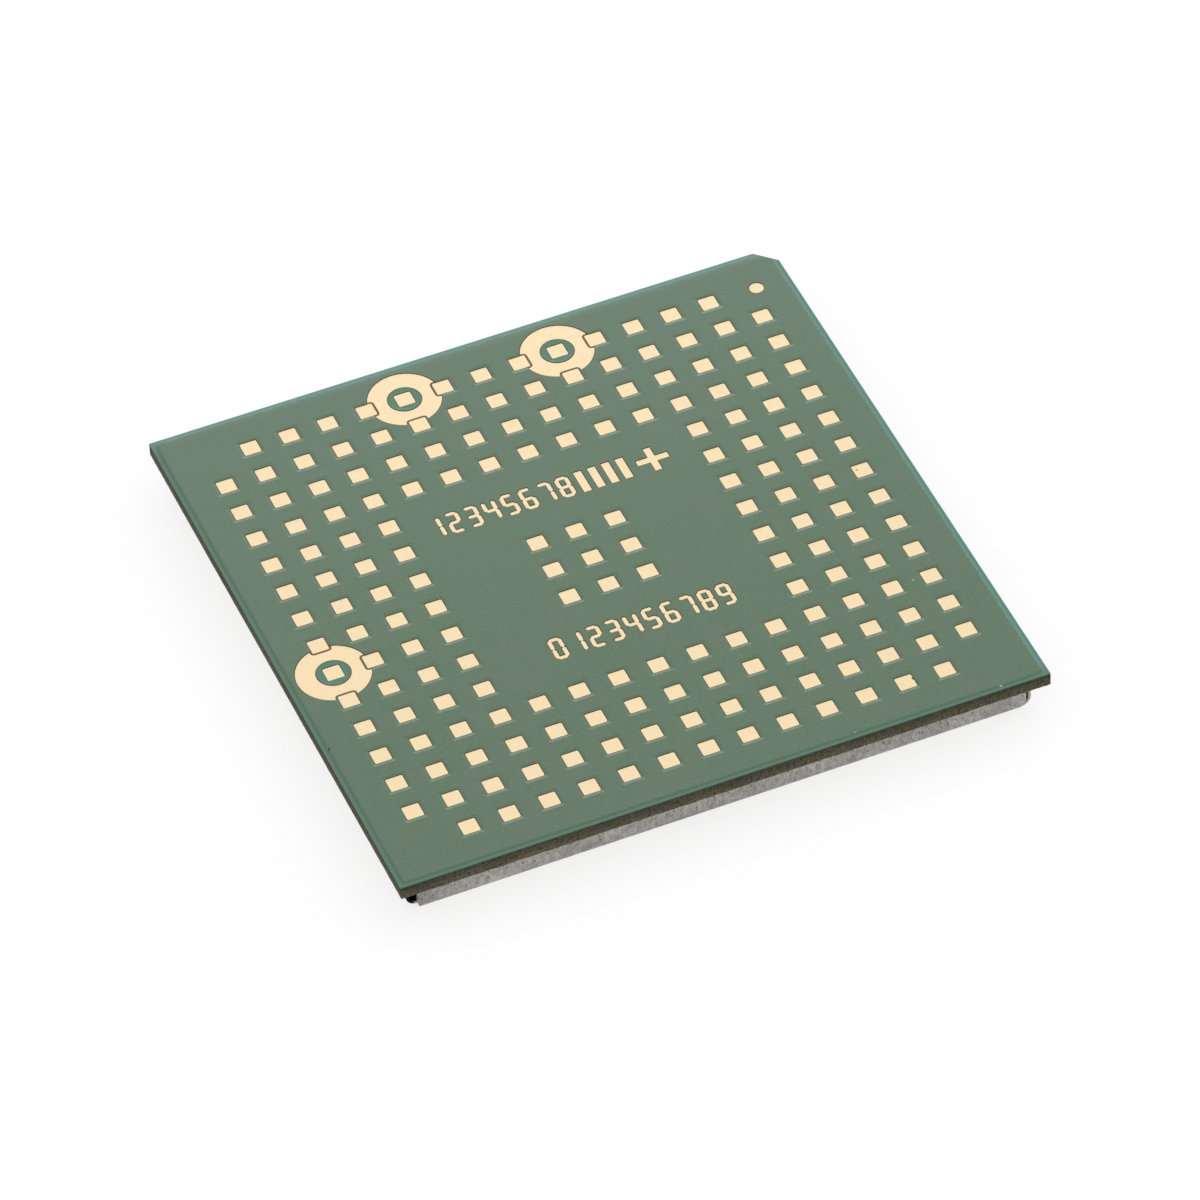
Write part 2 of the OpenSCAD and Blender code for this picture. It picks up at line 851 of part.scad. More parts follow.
board_laminate();
land_side_mask();
component_side_mask();
signal_lands();
centre_lands();
antenna_feed_lands();
antenna_ground_rings();
orientation_dot();
etched_marks();
shield_can();
shield_track();
can_solder_seam();
component_pads();
solder_joints();
solder_balls();
baseband_processor();
memory_package();
power_manager();
radio_transceiver();
high_band_amplifier();
low_band_amplifier();
antenna_switch();
duplexers();
receive_filters();
positioning_amplifier();
oscillator_base();
oscillator_lid();
crystal_base();
crystal_lid();
power_inductors();
bulk_capacitors();
decoupling_capacitors();
chip_resistors();
matching_inductors();
chip_terminals();
heat_pad();
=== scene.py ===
"""Looks of a square land-grid cellular module that rests on the lid of its shield can.

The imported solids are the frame. Places and outlines are read from them, and every other size is
a named value in millimetres. Colours are written as they look on a screen, from 0 to 255.
"""
import functools
import logging
import math
from dataclasses import dataclass, field
from enum import Enum

import bpy
import numpy as np
from mathutils import Matrix, Vector


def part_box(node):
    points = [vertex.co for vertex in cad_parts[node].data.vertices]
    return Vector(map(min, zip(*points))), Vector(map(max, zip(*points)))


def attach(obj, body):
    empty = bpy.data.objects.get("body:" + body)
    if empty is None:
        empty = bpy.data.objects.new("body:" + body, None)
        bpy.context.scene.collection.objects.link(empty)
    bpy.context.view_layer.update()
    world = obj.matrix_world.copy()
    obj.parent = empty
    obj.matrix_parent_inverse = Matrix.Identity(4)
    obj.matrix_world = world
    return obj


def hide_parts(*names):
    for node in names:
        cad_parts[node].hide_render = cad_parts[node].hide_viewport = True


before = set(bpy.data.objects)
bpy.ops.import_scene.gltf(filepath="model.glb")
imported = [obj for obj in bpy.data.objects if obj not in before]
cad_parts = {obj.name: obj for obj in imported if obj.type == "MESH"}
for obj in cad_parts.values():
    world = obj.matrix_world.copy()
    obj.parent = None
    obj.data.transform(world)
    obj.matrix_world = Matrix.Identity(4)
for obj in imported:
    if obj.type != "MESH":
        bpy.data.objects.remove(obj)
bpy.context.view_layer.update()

MM = 0.001
BODY = "root"
LOG = logging.getLogger("cellular_module")

Socket = bpy.types.NodeSocket
Feed = Socket | float | tuple
Shade = tuple[float, float, float, float]
Span = tuple[float, float]
Mesh = tuple[np.ndarray, np.ndarray]

# Spans that soft borders fade over: of noise, of a spot's and a field's radius, of a normal's upward part
GRAIN_SPAN: Span = (0.3, 0.7)
SPOT_SPAN: Span = (0.6, 1.0)
FIELD_SPAN: Span = (0.85, 1.15)
LEVEL_SPAN: Span = (0.4, 0.6)
# How many finer layers noise has, as grain and where it bends other patterns
GRAIN_DETAIL = 3.0
BEND_DETAIL = 1.0
# Middle of the colours that noise gives
NOISE_MIDDLE = (0.5, 0.5, 0.5)
# Angle past which an edge between two faces looks sharp
SHARP_DEG = 35.0


def shade(red: float, green: float, blue: float) -> Shade:
    """Turns a colour as it looks on a screen, from 0 to 255, into linear light.

    Args:
        red: red share.
        green: green share.
        blue: blue share.

    Returns:
        The colour with an alpha of 1.
    """
    screen = np.array([red, green, blue]) / 255
    linear = np.where(screen <= 0.04045, screen / 12.92, ((screen + 0.055) / 1.055) ** 2.4)
    return (*linear.tolist(), 1.0)


def corners(node: str) -> np.ndarray:
    """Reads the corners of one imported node.

    Args:
        node: name of the node.

    Returns:
        Its vertices, one row each, in metres.
    """
    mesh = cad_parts[node].data
    flat = np.empty(3 * len(mesh.vertices))
    mesh.vertices.foreach_get("co", flat)
    return flat.reshape(-1, 3)


def quads(grid: np.ndarray) -> np.ndarray:
    """Lists the four-sided faces between the rows and columns of a grid of point numbers."""
    rings = np.stack([grid[:-1, :-1], grid[:-1, 1:], grid[1:, 1:], grid[1:, :-1]], axis=-1)
    return rings.reshape(-1, 4)


def shell(outer: np.ndarray, inner: np.ndarray) -> Mesh:
    """Closes two grids of points into a sheet: its two faces and a band of faces round their border.

    Args:
        outer: points of the outer face, by row upwards and by column to the right, seen from outside.
        inner: points of the inner face, at the same rows and columns.

    Returns:
        The points, and the faces as point numbers, all pointing outwards.
    """
    rows, columns, _ = outer.shape
    grids = np.arange(2 * rows * columns).reshape(2, rows, columns)
    face, back = (
        np.concatenate([grid[0, :-1], grid[:-1, -1], grid[-1, :0:-1], grid[:0:-1, 0]]) for grid in grids
    )
    band = np.stack([np.roll(face, -1), face, back, np.roll(back, -1)], axis=-1)
    faces = np.concatenate([quads(grids[0]), quads(grids[1])[:, ::-1], band])
    return np.concatenate([outer.reshape(-1, 3), inner.reshape(-1, 3)]), faces


def turned(mesh: Mesh, quarters: int) -> Mesh:
    """Turns a mesh about the upright axis by quarter turns, and leaves its faces as they are.

    Args:
        mesh: points and faces.
        quarters: number of quarter turns to the left, seen from above.

    Returns:
        The turned points and the same faces.
    """
    cos, sin = ((1, 0), (0, 1), (-1, 0), (0, -1))[quarters % 4]
    points, faces = mesh
    return points @ np.array([[cos, sin, 0], [-sin, cos, 0], [0, 0, 1]]), faces


def make_piece(
    name: str, parts: list[Mesh], material: bpy.types.Material
) -> bpy.types.Object:
    """Makes one piece of closed meshes: smooth over bends and sharp at edges.

    Args:
        name: name of the piece.
        parts: points and faces of each closed mesh.
        material: what the piece is made of.

    Returns:
        The new piece, which rides on the part's body.
    """
    starts = np.cumsum([0] + [len(points) for points, _ in parts])
    faces = np.concatenate([faces + start for (_, faces), start in zip(parts, starts)])
    mesh = bpy.data.meshes.new(name)
    mesh.from_pydata(np.concatenate([points for points, _ in parts]).tolist(), [], faces.tolist())
    mesh.shade_smooth()
    mesh.set_sharp_from_angle(angle=math.radians(SHARP_DEG))
    mesh.materials.append(material)
    piece = bpy.data.objects.new(name, mesh)
    bpy.context.scene.collection.objects.link(piece)
    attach(piece, BODY)
    LOG.info("%s: %d closed meshes, %d faces", name, len(parts), len(faces))
    return piece


class Graph:
    """A node tree that is built by short calls."""

    def __init__(self, tree: bpy.types.NodeTree) -> None:
        """Empties the tree and keeps it."""
        self.tree = tree
        tree.nodes.clear()

    def add(
        self, kind: str, feeds: dict[str | int, Feed] | None = None, **settings: object
    ) -> bpy.types.Node:
        """Adds one node.

        Args:
            kind: type name of the node.
            feeds: a value or a socket for each input, by name or number.
            settings: properties of the node.

        Returns:
            The new node.
        """
        node = self.tree.nodes.new(kind)
        for name, value in settings.items():
            setattr(node, name, value)
        for key, value in (feeds or {}).items():
            if isinstance(value, Socket):
                self.tree.links.new(value, node.inputs[key])
            else:
                node.inputs[key].default_value = value
        return node

    def math(self, operation: str, *values: Feed) -> Socket:
        """Adds a Math node and gives its result."""
        return self.add("ShaderNodeMath", dict(enumerate(values)), operation=operation).outputs[0]

    def span(
        self, value: Socket, low: float, high: float, at_low: Feed = 0.0, at_high: Feed = 1.0
    ) -> Socket:
        """Carries a value smoothly from one span to another.

        Args:
            value: what is carried.
            low: start of the span that is read.
            high: end of the span that is read.
            at_low: result at the start and before it.
            at_high: result at the end and past it.

        Returns:
            The result.
        """
        feeds = {"Value": value, "From Min": low, "From Max": high, "To Min": at_low, "To Max": at_high}
        return self.add("ShaderNodeMapRange", feeds, interpolation_type="SMOOTHSTEP").outputs[0]

    def mix(self, share: Feed, first: Feed, second: Feed) -> Socket:
        """Mixes two colours and gives the result."""
        feeds = {0: share, 6: first, 7: second}
        return self.add("ShaderNodeMix", feeds, data_type="RGBA").outputs[2]

    def effect(self, group: bpy.types.NodeTree, **feeds: Feed) -> Socket:
        """Places a shared effect and gives its first result."""
        return self.add("ShaderNodeGroup", feeds, node_tree=group).outputs[0]

    def grain(self, place: Socket, width_mm: float, low: float = 0.0, high: float = 1.0) -> Socket:
        """Places cloudy grain of a given width, spread between two values, and gives its result."""
        return self.effect(grain_effect(), Place=place, Scale=1 / (width_mm * MM), Low=low, High=high)

    def near(self, place: Socket, point: tuple[float, float, float], radius: float) -> Socket:
        """Places a round field and gives its result: 1 near a point, and 0 outside a radius."""
        return self.effect(near_effect(), Place=place, Point=point, Radius=radius)

    def place(self) -> Socket:
        """Gives the place on the object, in metres."""
        return self.add("ShaderNodeTexCoord").outputs["Object"]

    def axes(self, place: Socket) -> tuple[Socket, Socket, Socket]:
        """Splits a place into its three parts."""
        return tuple(self.add("ShaderNodeSeparateXYZ", {0: place}).outputs)

    def upward(self) -> Socket:
        """Gives the upward part of the face's own normal: 1 on level faces and 0 on walls."""
        normal = self.add("ShaderNodeNewGeometry").outputs["True Normal"]
        return self.axes(normal)[2]

    def bump(self, height: Socket) -> Socket:
        """Turns a height in millimetres into a normal."""
        return self.add("ShaderNodeBump", {"Height": height, "Distance": MM}).outputs[0]


def new_group(
    name: str, inputs: dict[str, str], output: str
) -> tuple[Graph, dict[str, Socket], Socket]:
    """Starts a shared effect with one result.

    Args:
        name: name of the effect.
        inputs: socket type of each input, by name.
        output: name of the result.

    Returns:
        The graph, its inputs by name and the socket that takes the result.
    """
    tree = bpy.data.node_groups.new(name, "ShaderNodeTree")
    for key, kind in inputs.items():
        tree.interface.new_socket(key, in_out="INPUT", socket_type=kind)
    tree.interface.new_socket(output, in_out="OUTPUT", socket_type="NodeSocketFloat")
    graph = Graph(tree)
    entry = graph.add("NodeGroupInput")
    result = graph.add("NodeGroupOutput").inputs[output]
    return graph, {key: entry.outputs[key] for key in inputs}, result


@functools.cache
def grain_effect() -> bpy.types.NodeTree:
    """Builds cloudy grain: noise of a given scale, spread between two values.

    Returns:
        The effect, with the result Grain.
    """
    inputs = {"Place": "NodeSocketVector", "Scale": "NodeSocketFloat", "Low": "NodeSocketFloat"}
    graph, feeds, result = new_group("Grain", inputs | {"High": "NodeSocketFloat"}, "Grain")
    noise_feeds = {"Vector": feeds["Place"], "Scale": feeds["Scale"], "Detail": GRAIN_DETAIL}
    noise = graph.add("ShaderNodeTexNoise", noise_feeds)
    spread = graph.span(noise.outputs[0], *GRAIN_SPAN, feeds["Low"], feeds["High"])
    graph.tree.links.new(spread, result)
    return graph.tree


@functools.cache
def pits_effect() -> bpy.types.NodeTree:
    """Builds scattered spots: the middles of some cells of a pattern, picked by each cell's own chance.

    Returns:
        The effect, with the result Spot, which is 1 inside a spot.
    """
    inputs = {"Place": "NodeSocketVector", "Scale": "NodeSocketFloat", "Radius": "NodeSocketFloat"}
    graph, feeds, result = new_group("Pits", inputs | {"Share": "NodeSocketFloat"}, "Spot")
    cells = graph.add("ShaderNodeTexVoronoi", {"Vector": feeds["Place"], "Scale": feeds["Scale"]})
    chance = graph.add("ShaderNodeSeparateColor", {0: cells.outputs["Color"]}).outputs[0]
    share = graph.math("DIVIDE", cells.outputs["Distance"], feeds["Radius"])
    inside = graph.span(share, *SPOT_SPAN, 1.0, 0.0)
    picked = graph.math("LESS_THAN", chance, feeds["Share"])
    graph.tree.links.new(graph.math("MULTIPLY", inside, picked), result)
    return graph.tree


@functools.cache
def rim_effect() -> bpy.types.NodeTree:
    """Builds the depth inside the board's outline: the least distance to its four sides.

    Returns:
        The effect, with the result Depth in metres.
    """
    inputs = {"Place": "NodeSocketVector", "Side": "NodeSocketFloat"}
    graph, feeds, result = new_group("Rim", inputs, "Depth")
    x, y, _ = graph.axes(feeds["Place"])
    reach = graph.math("MAXIMUM", graph.math("ABSOLUTE", x), graph.math("ABSOLUTE", y))
    graph.tree.links.new(graph.math("SUBTRACT", feeds["Side"], reach), result)
    return graph.tree


@functools.cache
def near_effect() -> bpy.types.NodeTree:
    """Builds a round field: 1 near a point, and 0 outside a radius, with a soft edge.

    Returns:
        The effect, with the result Field.
    """
    inputs = {"Place": "NodeSocketVector", "Point": "NodeSocketVector", "Radius": "NodeSocketFloat"}
    graph, feeds, result = new_group("Near", inputs, "Field")
    ends = {0: feeds["Place"], 1: feeds["Point"]}
    gap = graph.add("ShaderNodeVectorMath", ends, operation="DISTANCE")
    share = graph.math("DIVIDE", gap.outputs["Value"], feeds["Radius"])
    graph.tree.links.new(graph.span(share, *FIELD_SPAN, 1.0, 0.0), result)
    return graph.tree


@functools.cache
def land_effect() -> bpy.types.NodeTree:
    """Builds the distance from the square round the nearest place of the land grid: 0 inside the square.

    Returns:
        The effect, with the result Reach in metres.
    """
    inputs = {"Place": "NodeSocketVector", "Pitch": "NodeSocketFloat", "Edge": "NodeSocketFloat"}
    graph, feeds, result = new_group("Lands", inputs, "Reach")
    beyond = {}
    for axis, part in enumerate(graph.axes(feeds["Place"])[:2]):
        ahead = graph.math("MULTIPLY_ADD", feeds["Pitch"], 0.5, part)
        whole = graph.math("SNAP", ahead, feeds["Pitch"])
        away = graph.math("ABSOLUTE", graph.math("SUBTRACT", part, whole))
        beyond[axis] = graph.math("MAXIMUM", graph.math("SUBTRACT", away, feeds["Edge"]), 0.0)
    across = graph.add("ShaderNodeCombineXYZ", beyond).outputs[0]
    length = graph.add("ShaderNodeVectorMath", {0: across}, operation="LENGTH").outputs["Value"]
    graph.tree.links.new(length, result)
    return graph.tree


@dataclass(frozen=True)
class Finish:
    """A finish: colours, gloss and grain that make one material.

    Attributes:
        name: name of the material.
        colour: main colour.
        second: colour that the grain brings in.
        metallic: 1 on bare metal, else 0.
        gloss: lowest and highest roughness, which changes over twice the width of the grain.
        grain_mm: width of the grain.
        relief_mm: height of the grain.
        sheen: how much light the surface itself throws back, 0.5 on most things.
    """

    name: str
    colour: Shade
    second: Shade
    metallic: float = 0.0
    gloss: tuple[float, float] = (0.4, 0.5)
    grain_mm: float = 0.15
    relief_mm: float = 0.001
    sheen: float = 0.5

    def colours(self, graph: Graph, place: Socket, grain: Socket) -> Socket:
        """Gives the colour over the surface: the two colours, mixed by the grain."""
        return graph.mix(grain, self.colour, self.second)

    def stretched(self, graph: Graph, place: Socket) -> Socket:
        """Gives the place that the grain reads, which may be stretched."""
        return place

    def heights(self, graph: Graph, place: Socket, grain: Socket) -> Socket:
        """Gives the relief over the surface, in millimetres."""
        return graph.math("MULTIPLY", grain, self.relief_mm)

    @functools.cache
    def material(self) -> bpy.types.Material:
        """Builds the material at its first use.

        Returns:
            The material.
        """
        material = bpy.data.materials.new(self.name)
        material.use_nodes = True
        graph = Graph(material.node_tree)
        place = graph.place()
        drawn = self.stretched(graph, place)
        grain = graph.grain(drawn, self.grain_mm)
        feeds = {
            "Base Color": self.colours(graph, place, grain),
            "Metallic": self.metallic,
            "Roughness": graph.grain(drawn, 2 * self.grain_mm, *self.gloss),
            "Specular IOR Level": self.sheen,
            "Normal": graph.bump(self.heights(graph, place, grain)),
        }
        surface = graph.add("ShaderNodeBsdfPrincipled", feeds)
        graph.add("ShaderNodeOutputMaterial", {"Surface": surface.outputs[0]})
        return material


@dataclass(frozen=True)
class MaskFilm(Finish):
    """Satin mask film: grey green over copper, and teal and lower where no copper lies under it.

    Attributes:
        tint: browner colour that drifts in and out over the film.
        tint_mm: width of that drift.
        tint_share: the most of it that shows.
        painted_far_sheen: lighter colour that comes in towards the far side, a painted sheen where the far
            lamp lights the film.
        painted_far_sheen_mm: how far back from the middle it starts, and where it shows most.
        painted_far_sheen_share: the most of it that shows.
        bare: colours over bare laminate in the antenna discs, in patches of green and blue.
        patch_mm: width of those patches.
        lip_and_painted_light: colours of the strip along the outline: front and left, right, and far side;
            the strip's own teal, with painted shade on the front and left and a painted sheen on the right
            and far side.
        mitre_mm: how far from a corner, along the outline, one side's strip turns into the next.
        lip_mm: width of that strip, on the front and left sides and on the other two.
        lip_span: depths between which the strip ends, as multiples of its width.
        painted_crest_highlight: colour of the copper's edge at the strip's inner border, on the right and
            far sides, a painted highlight where that edge faces the lamps.
        painted_crest_highlight_span: depths between which the painted highlight comes in, as multiples of
            the strip's width.
        wave_mm: length of the waves of that border.
        wave: height of those waves, as a share of the strip's width.
        line: darker colour of the slope between the strip and the copper on the front and left sides,
            painted shade where that slope faces away from the lamps.
        painted_slope_shade_span: depths between which the slope's painted shade ends, as multiples of the
            strip's width.
        wall: dark colour of the film's cut walls, partly the film's own edge and partly painted shade.
        lap_mm: how far the film laps onto a ground ring's inner edge.
        step_mm: how much lower the film lies where the copper ends.
        step_span: depths between which it rises along the outline, as multiples of the strip's width.
        slope_mm: width of the film's slope round a land, and how far it falls.
        gap_mm: distance from a land to the film.
        bare_places: where the bare field starts and ends, in places of the land grid from its middle.
        corner_places: where the grid's bare corners start.
        end_places: where the grid ends.
        fleck: colour of the lighter flecks in the film.
        flecks_mm: place and radius of each fleck.
    """

    tint: Shade = shade(99, 117, 95)
    tint_mm: float = 1.6
    tint_share: float = 0.5
    painted_far_sheen: Shade = shade(100, 125, 104)
    painted_far_sheen_mm: tuple[float, float] = (-8.0, 14.0)
    painted_far_sheen_share: float = 0.6
    bare: tuple[Shade, Shade] = (shade(79, 129, 101), shade(77, 127, 114))
    patch_mm: float = 0.35
    lip_and_painted_light: tuple[Shade, Shade, Shade] = (
        shade(78, 121, 99), shade(83, 132, 121), shade(104, 147, 138)
    )
    mitre_mm: float = 1.0
    lip_mm: tuple[float, float] = (0.15, 0.23)
    lip_span: Span = (0.8, 1.2)
    painted_crest_highlight: Shade = shade(104, 149, 135)
    painted_crest_highlight_span: Span = (0.5, 0.85)
    wave_mm: float = 0.2
    wave: float = 0.12
    line: Shade = shade(70, 101, 81)
    painted_slope_shade_span: Span = (1.1, 2.3)
    wall: Shade = shade(78, 80, 62)
    lap_mm: float = 0.1
    step_mm: float = 0.016
    step_span: Span = (0.6, 2.3)
    slope_mm: tuple[float, float] = (0.15, 0.034)
    gap_mm: float = 0.03
    bare_places: Span = (1.5, 3.5)
    corner_places: float = 6.5
    end_places: float = 7.5
    fleck: Shade = shade(150, 172, 154)
    flecks_mm: tuple[tuple[float, float, float], ...] = ()

    def sides(self, graph: Graph, place: Socket) -> tuple[Socket, Socket]:
        """Tells the four sides apart by the board's two diagonals.

        Args:
            graph: the material's graph.
            place: the place on the surface.

        Returns:
            Two fields: 1 towards the right and far sides, and 1 towards the far side alone.
        """
        x, y, _ = graph.axes(place)
        mitre = self.mitre_mm * MM
        beyond = graph.span(graph.math("ADD", x, y), -mitre, mitre)
        left_of = graph.span(graph.math("SUBTRACT", y, x), -mitre, mitre)
        return beyond, graph.math("MULTIPLY", beyond, left_of)

    def depth(self, graph: Graph, place: Socket) -> Socket:
        """Measures the depth inside the board's outline by the strip's width there, with small waves.

        Args:
            graph: the material's graph.
            place: the place on the surface.

        Returns:
            The depth, as a multiple of the strip's width.
        """
        inside = graph.effect(rim_effect(), Place=place, Side=Board.read().half)
        near, far = (width * MM for width in self.lip_mm)
        beyond, _ = self.sides(graph, place)
        share = graph.math("DIVIDE", inside, graph.span(beyond, 0.0, 1.0, near, far))
        return graph.math("ADD", share, graph.grain(place, self.wave_mm, -self.wave, self.wave))

    def discs(self, graph: Graph, place: Socket) -> Socket:
        """Marks the antenna discs, where no copper lies under the film.

        Args:
            graph: the material's graph.
            place: the place on the surface.

        Returns:
            A field that is 1 inside the discs.
        """
        board = Board.read()
        radius = board.ring_hole - self.lap_mm * MM
        fields = [graph.near(place, tuple(point), radius) for point in board.feeds]
        return functools.reduce(functools.partial(graph.math, "MAXIMUM"), fields)

    def colours(self, graph: Graph, place: Socket, grain: Socket) -> Socket:
        """Mixes green over copper with a painted sheen towards the far side, the strip along the outline
        with painted shade and highlights by side, teal over bare laminate, the lighter flecks and the cut
        walls with painted shade.

        Args:
            graph: the material's graph.
            place: the place on the surface.
            grain: the grain, from 0 to 1.

        Returns:
            The colour over the film.
        """
        drift = graph.grain(place, self.tint_mm, high=self.tint_share)
        colour = graph.mix(drift, graph.mix(grain, self.colour, self.second), self.tint)
        # Painted sheen: the film grows lighter towards the far side, where the far lamp lights it.
        start, end = (value * MM for value in self.painted_far_sheen_mm)
        back = graph.span(graph.axes(place)[1], start, end, 0.0, self.painted_far_sheen_share)
        colour = graph.mix(back, colour, self.painted_far_sheen)
        beyond, far_side = self.sides(graph, place)
        depth = self.depth(graph, place)
        # Painted shade: the slope between the strip and the copper is darker on the front and left sides.
        slope = graph.span(depth, *self.painted_slope_shade_span, 1.0, 0.0)
        colour = graph.mix(slope, colour, graph.mix(beyond, self.line, colour))
        # The strip's own teal, painted darker on the front and left and lighter on the right and far side,
        # as the lamps light it.
        front, right, far = self.lip_and_painted_light
        lip_and_painted_light = graph.mix(far_side, graph.mix(beyond, front, right), far)
        # Painted highlight on the copper's edge at the strip's inner border, on the right and far sides
        # only.
        painted_crest_highlight = graph.math("MULTIPLY", beyond, graph.span(depth, *self.painted_crest_highlight_span))
        lip_and_painted_light = graph.mix(painted_crest_highlight, lip_and_painted_light, self.painted_crest_highlight)
        colour = graph.mix(graph.span(depth, *self.lip_span, 1.0, 0.0), colour, lip_and_painted_light)
        bare = graph.mix(graph.grain(place, self.patch_mm), *self.bare)
        colour = graph.mix(self.discs(graph, place), colour, bare)
        for x_mm, y_mm, radius_mm in self.flecks_mm:
            point = (x_mm * MM, y_mm * MM, Board.read().top)
            colour = graph.mix(graph.near(place, point, radius_mm * MM), colour, self.fleck)
        # The film's cut walls take a dark colour: partly their own edge colour, partly painted shade.
        steep = graph.span(graph.math("ABSOLUTE", graph.upward()), *LEVEL_SPAN, 1.0, 0.0)
        return graph.mix(steep, colour, self.wall)

    def slopes(self, graph: Graph, place: Socket) -> Socket:
        """Gives the film's fall towards the lands: from 0 at the slope's start to 1 at the opening's edge.

        No lands lie in the grid's corners, past its ends, or in the bare field round its middle block.

        Args:
            graph: the material's graph.
            place: the place on the film.

        Returns:
            The share of the fall.
        """
        board = Board.read()
        edge = board.land_half + self.gap_mm * MM
        reach = graph.effect(land_effect(), Place=place, Pitch=board.pitch, Edge=edge)
        fall = graph.span(reach, 0.0, self.slope_mm[0] * MM, 1.0, 0.0)
        x, y = (graph.math("ABSOLUTE", part) for part in graph.axes(place)[:2])
        outer, inner = graph.math("MAXIMUM", x, y), graph.math("MINIMUM", x, y)
        start, end = (places * board.pitch for places in self.bare_places)
        bare = graph.math("COMPARE", outer, (start + end) / 2, (end - start) / 2)
        in_corner = graph.math("GREATER_THAN", inner, self.corner_places * board.pitch)
        outside = graph.math("GREATER_THAN", outer, self.end_places * board.pitch)
        bare = graph.math("MAXIMUM", bare, graph.math("MAXIMUM", in_corner, outside))
        return graph.math("MULTIPLY", fall, graph.math("SUBTRACT", 1.0, bare))

    def heights(self, graph: Graph, place: Socket, grain: Socket) -> Socket:
        """Adds up the grain's relief, the step down where the copper ends and the slopes round the lands.

        Args:
            graph: the material's graph.
            place: the place on the surface.
            grain: the grain, from 0 to 1.

        Returns:
            The height, in millimetres.
        """
        strip = graph.span(self.depth(graph, place), *self.step_span, 1.0, 0.0)
        discs = self.discs(graph, place)
        drop = graph.math("MULTIPLY", graph.math("MAXIMUM", strip, discs), self.step_mm)
        slopes = graph.math("MULTIPLY", self.slopes(graph, place), graph.math("SUBTRACT", 1.0, discs))
        drop = graph.math("MULTIPLY_ADD", slopes, self.slope_mm[1], drop)
        return graph.math("SUBTRACT", graph.math("MULTIPLY", grain, self.relief_mm), drop)


@dataclass(frozen=True)
class GoldPlate(Finish):
    """Pale matt gold, with one stained pit.

    Attributes:
        stain: colour of the pit.
        stain_mm: place of the pit.
        stain_r_mm: radius of the pit.
    """

    stain: Shade = shade(176, 128, 82)
    stain_mm: tuple[float, float] = (11.865, 0.1)
    stain_r_mm: float = 0.05

    def colours(self, graph: Graph, place: Socket, grain: Socket) -> Socket:
        """Mixes the two golds by the grain, and adds the pit.

        Args:
            graph: the material's graph.
            place: the place on the surface.
            grain: the grain, from 0 to 1.

        Returns:
            The colour over the plate.
        """
        plate = graph.mix(grain, self.colour, self.second)
        point = (self.stain_mm[0] * MM, self.stain_mm[1] * MM, Board.read().plate)
        return graph.mix(graph.near(place, point, self.stain_r_mm * MM), plate, self.stain)


@dataclass(frozen=True)
class CutLaminate(Finish):
    """Cut edge of glass laminate: upright streaks, darker at the top, with brown and green patches.

    Attributes:
        upper: the two colours of the streaks at the top of the edge.
        patches: colours of the patches, brown and dark green.
        patch_mm: width of a patch.
        patch_span: least and most share of a patch's colour, where less than 0 shows none.
        patch_shift_mm: how far the second patches lie from the first.
        drift_mm: length over which the edge grows darker and lighter.
        drift_share: the most that it darkens.
        face: colour of the bare face beside the lands.
        squeeze: how much narrower than high the streaks are.
    """

    upper: tuple[Shade, Shade] = (shade(40, 50, 33), shade(104, 111, 90))
    patches: tuple[Shade, Shade] = (shade(118, 94, 76), shade(50, 62, 45))
    patch_mm: float = 0.22
    patch_span: Span = (-0.6, 0.75)
    patch_shift_mm: float = 370.0
    drift_mm: float = 2.2
    drift_share: float = 0.4
    face: Shade = shade(126, 114, 90)
    squeeze: float = 1.5

    def stretched(self, graph: Graph, place: Socket) -> Socket:
        """Works out the place along the edge, stretched, and the height.

        Args:
            graph: the material's graph.
            place: the place on the surface.

        Returns:
            The place that the streaks read.
        """
        x, y, z = graph.axes(place)
        along = graph.math("MULTIPLY", graph.math("SUBTRACT", x, y), self.squeeze)
        return graph.add("ShaderNodeCombineXYZ", {0: along, 1: 0.0, 2: z}).outputs[0]

    def colours(self, graph: Graph, place: Socket, grain: Socket) -> Socket:
        """Mixes the streaks, darker towards the top, the patches, the drift and the bare face.

        Args:
            graph: the material's graph.
            place: the place on the surface.
            grain: the grain, from 0 to 1.

        Returns:
            The colour over the laminate.
        """
        low, high = (corner.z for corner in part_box("board_laminate"))
        height = graph.span(graph.axes(place)[2], low, high)
        lower = graph.mix(grain, self.colour, self.second)
        streaks = graph.mix(height, lower, graph.mix(grain, *self.upper))
        drawn = self.stretched(graph, place)
        for patch, shift in zip(self.patches, (0.0, self.patch_shift_mm * MM)):
            moved = graph.add("ShaderNodeMapping", {"Vector": drawn, "Location": (shift, 0.0, 0.0)})
            share = graph.grain(moved.outputs[0], self.patch_mm, *self.patch_span)
            streaks = graph.mix(graph.math("MAXIMUM", share, 0.0), streaks, patch)
        drift = graph.grain(place, self.drift_mm, high=self.drift_share)
        streaks = graph.mix(drift, streaks, self.patches[1])
        level = graph.span(graph.upward(), *LEVEL_SPAN)
        return graph.mix(level, streaks, self.face)


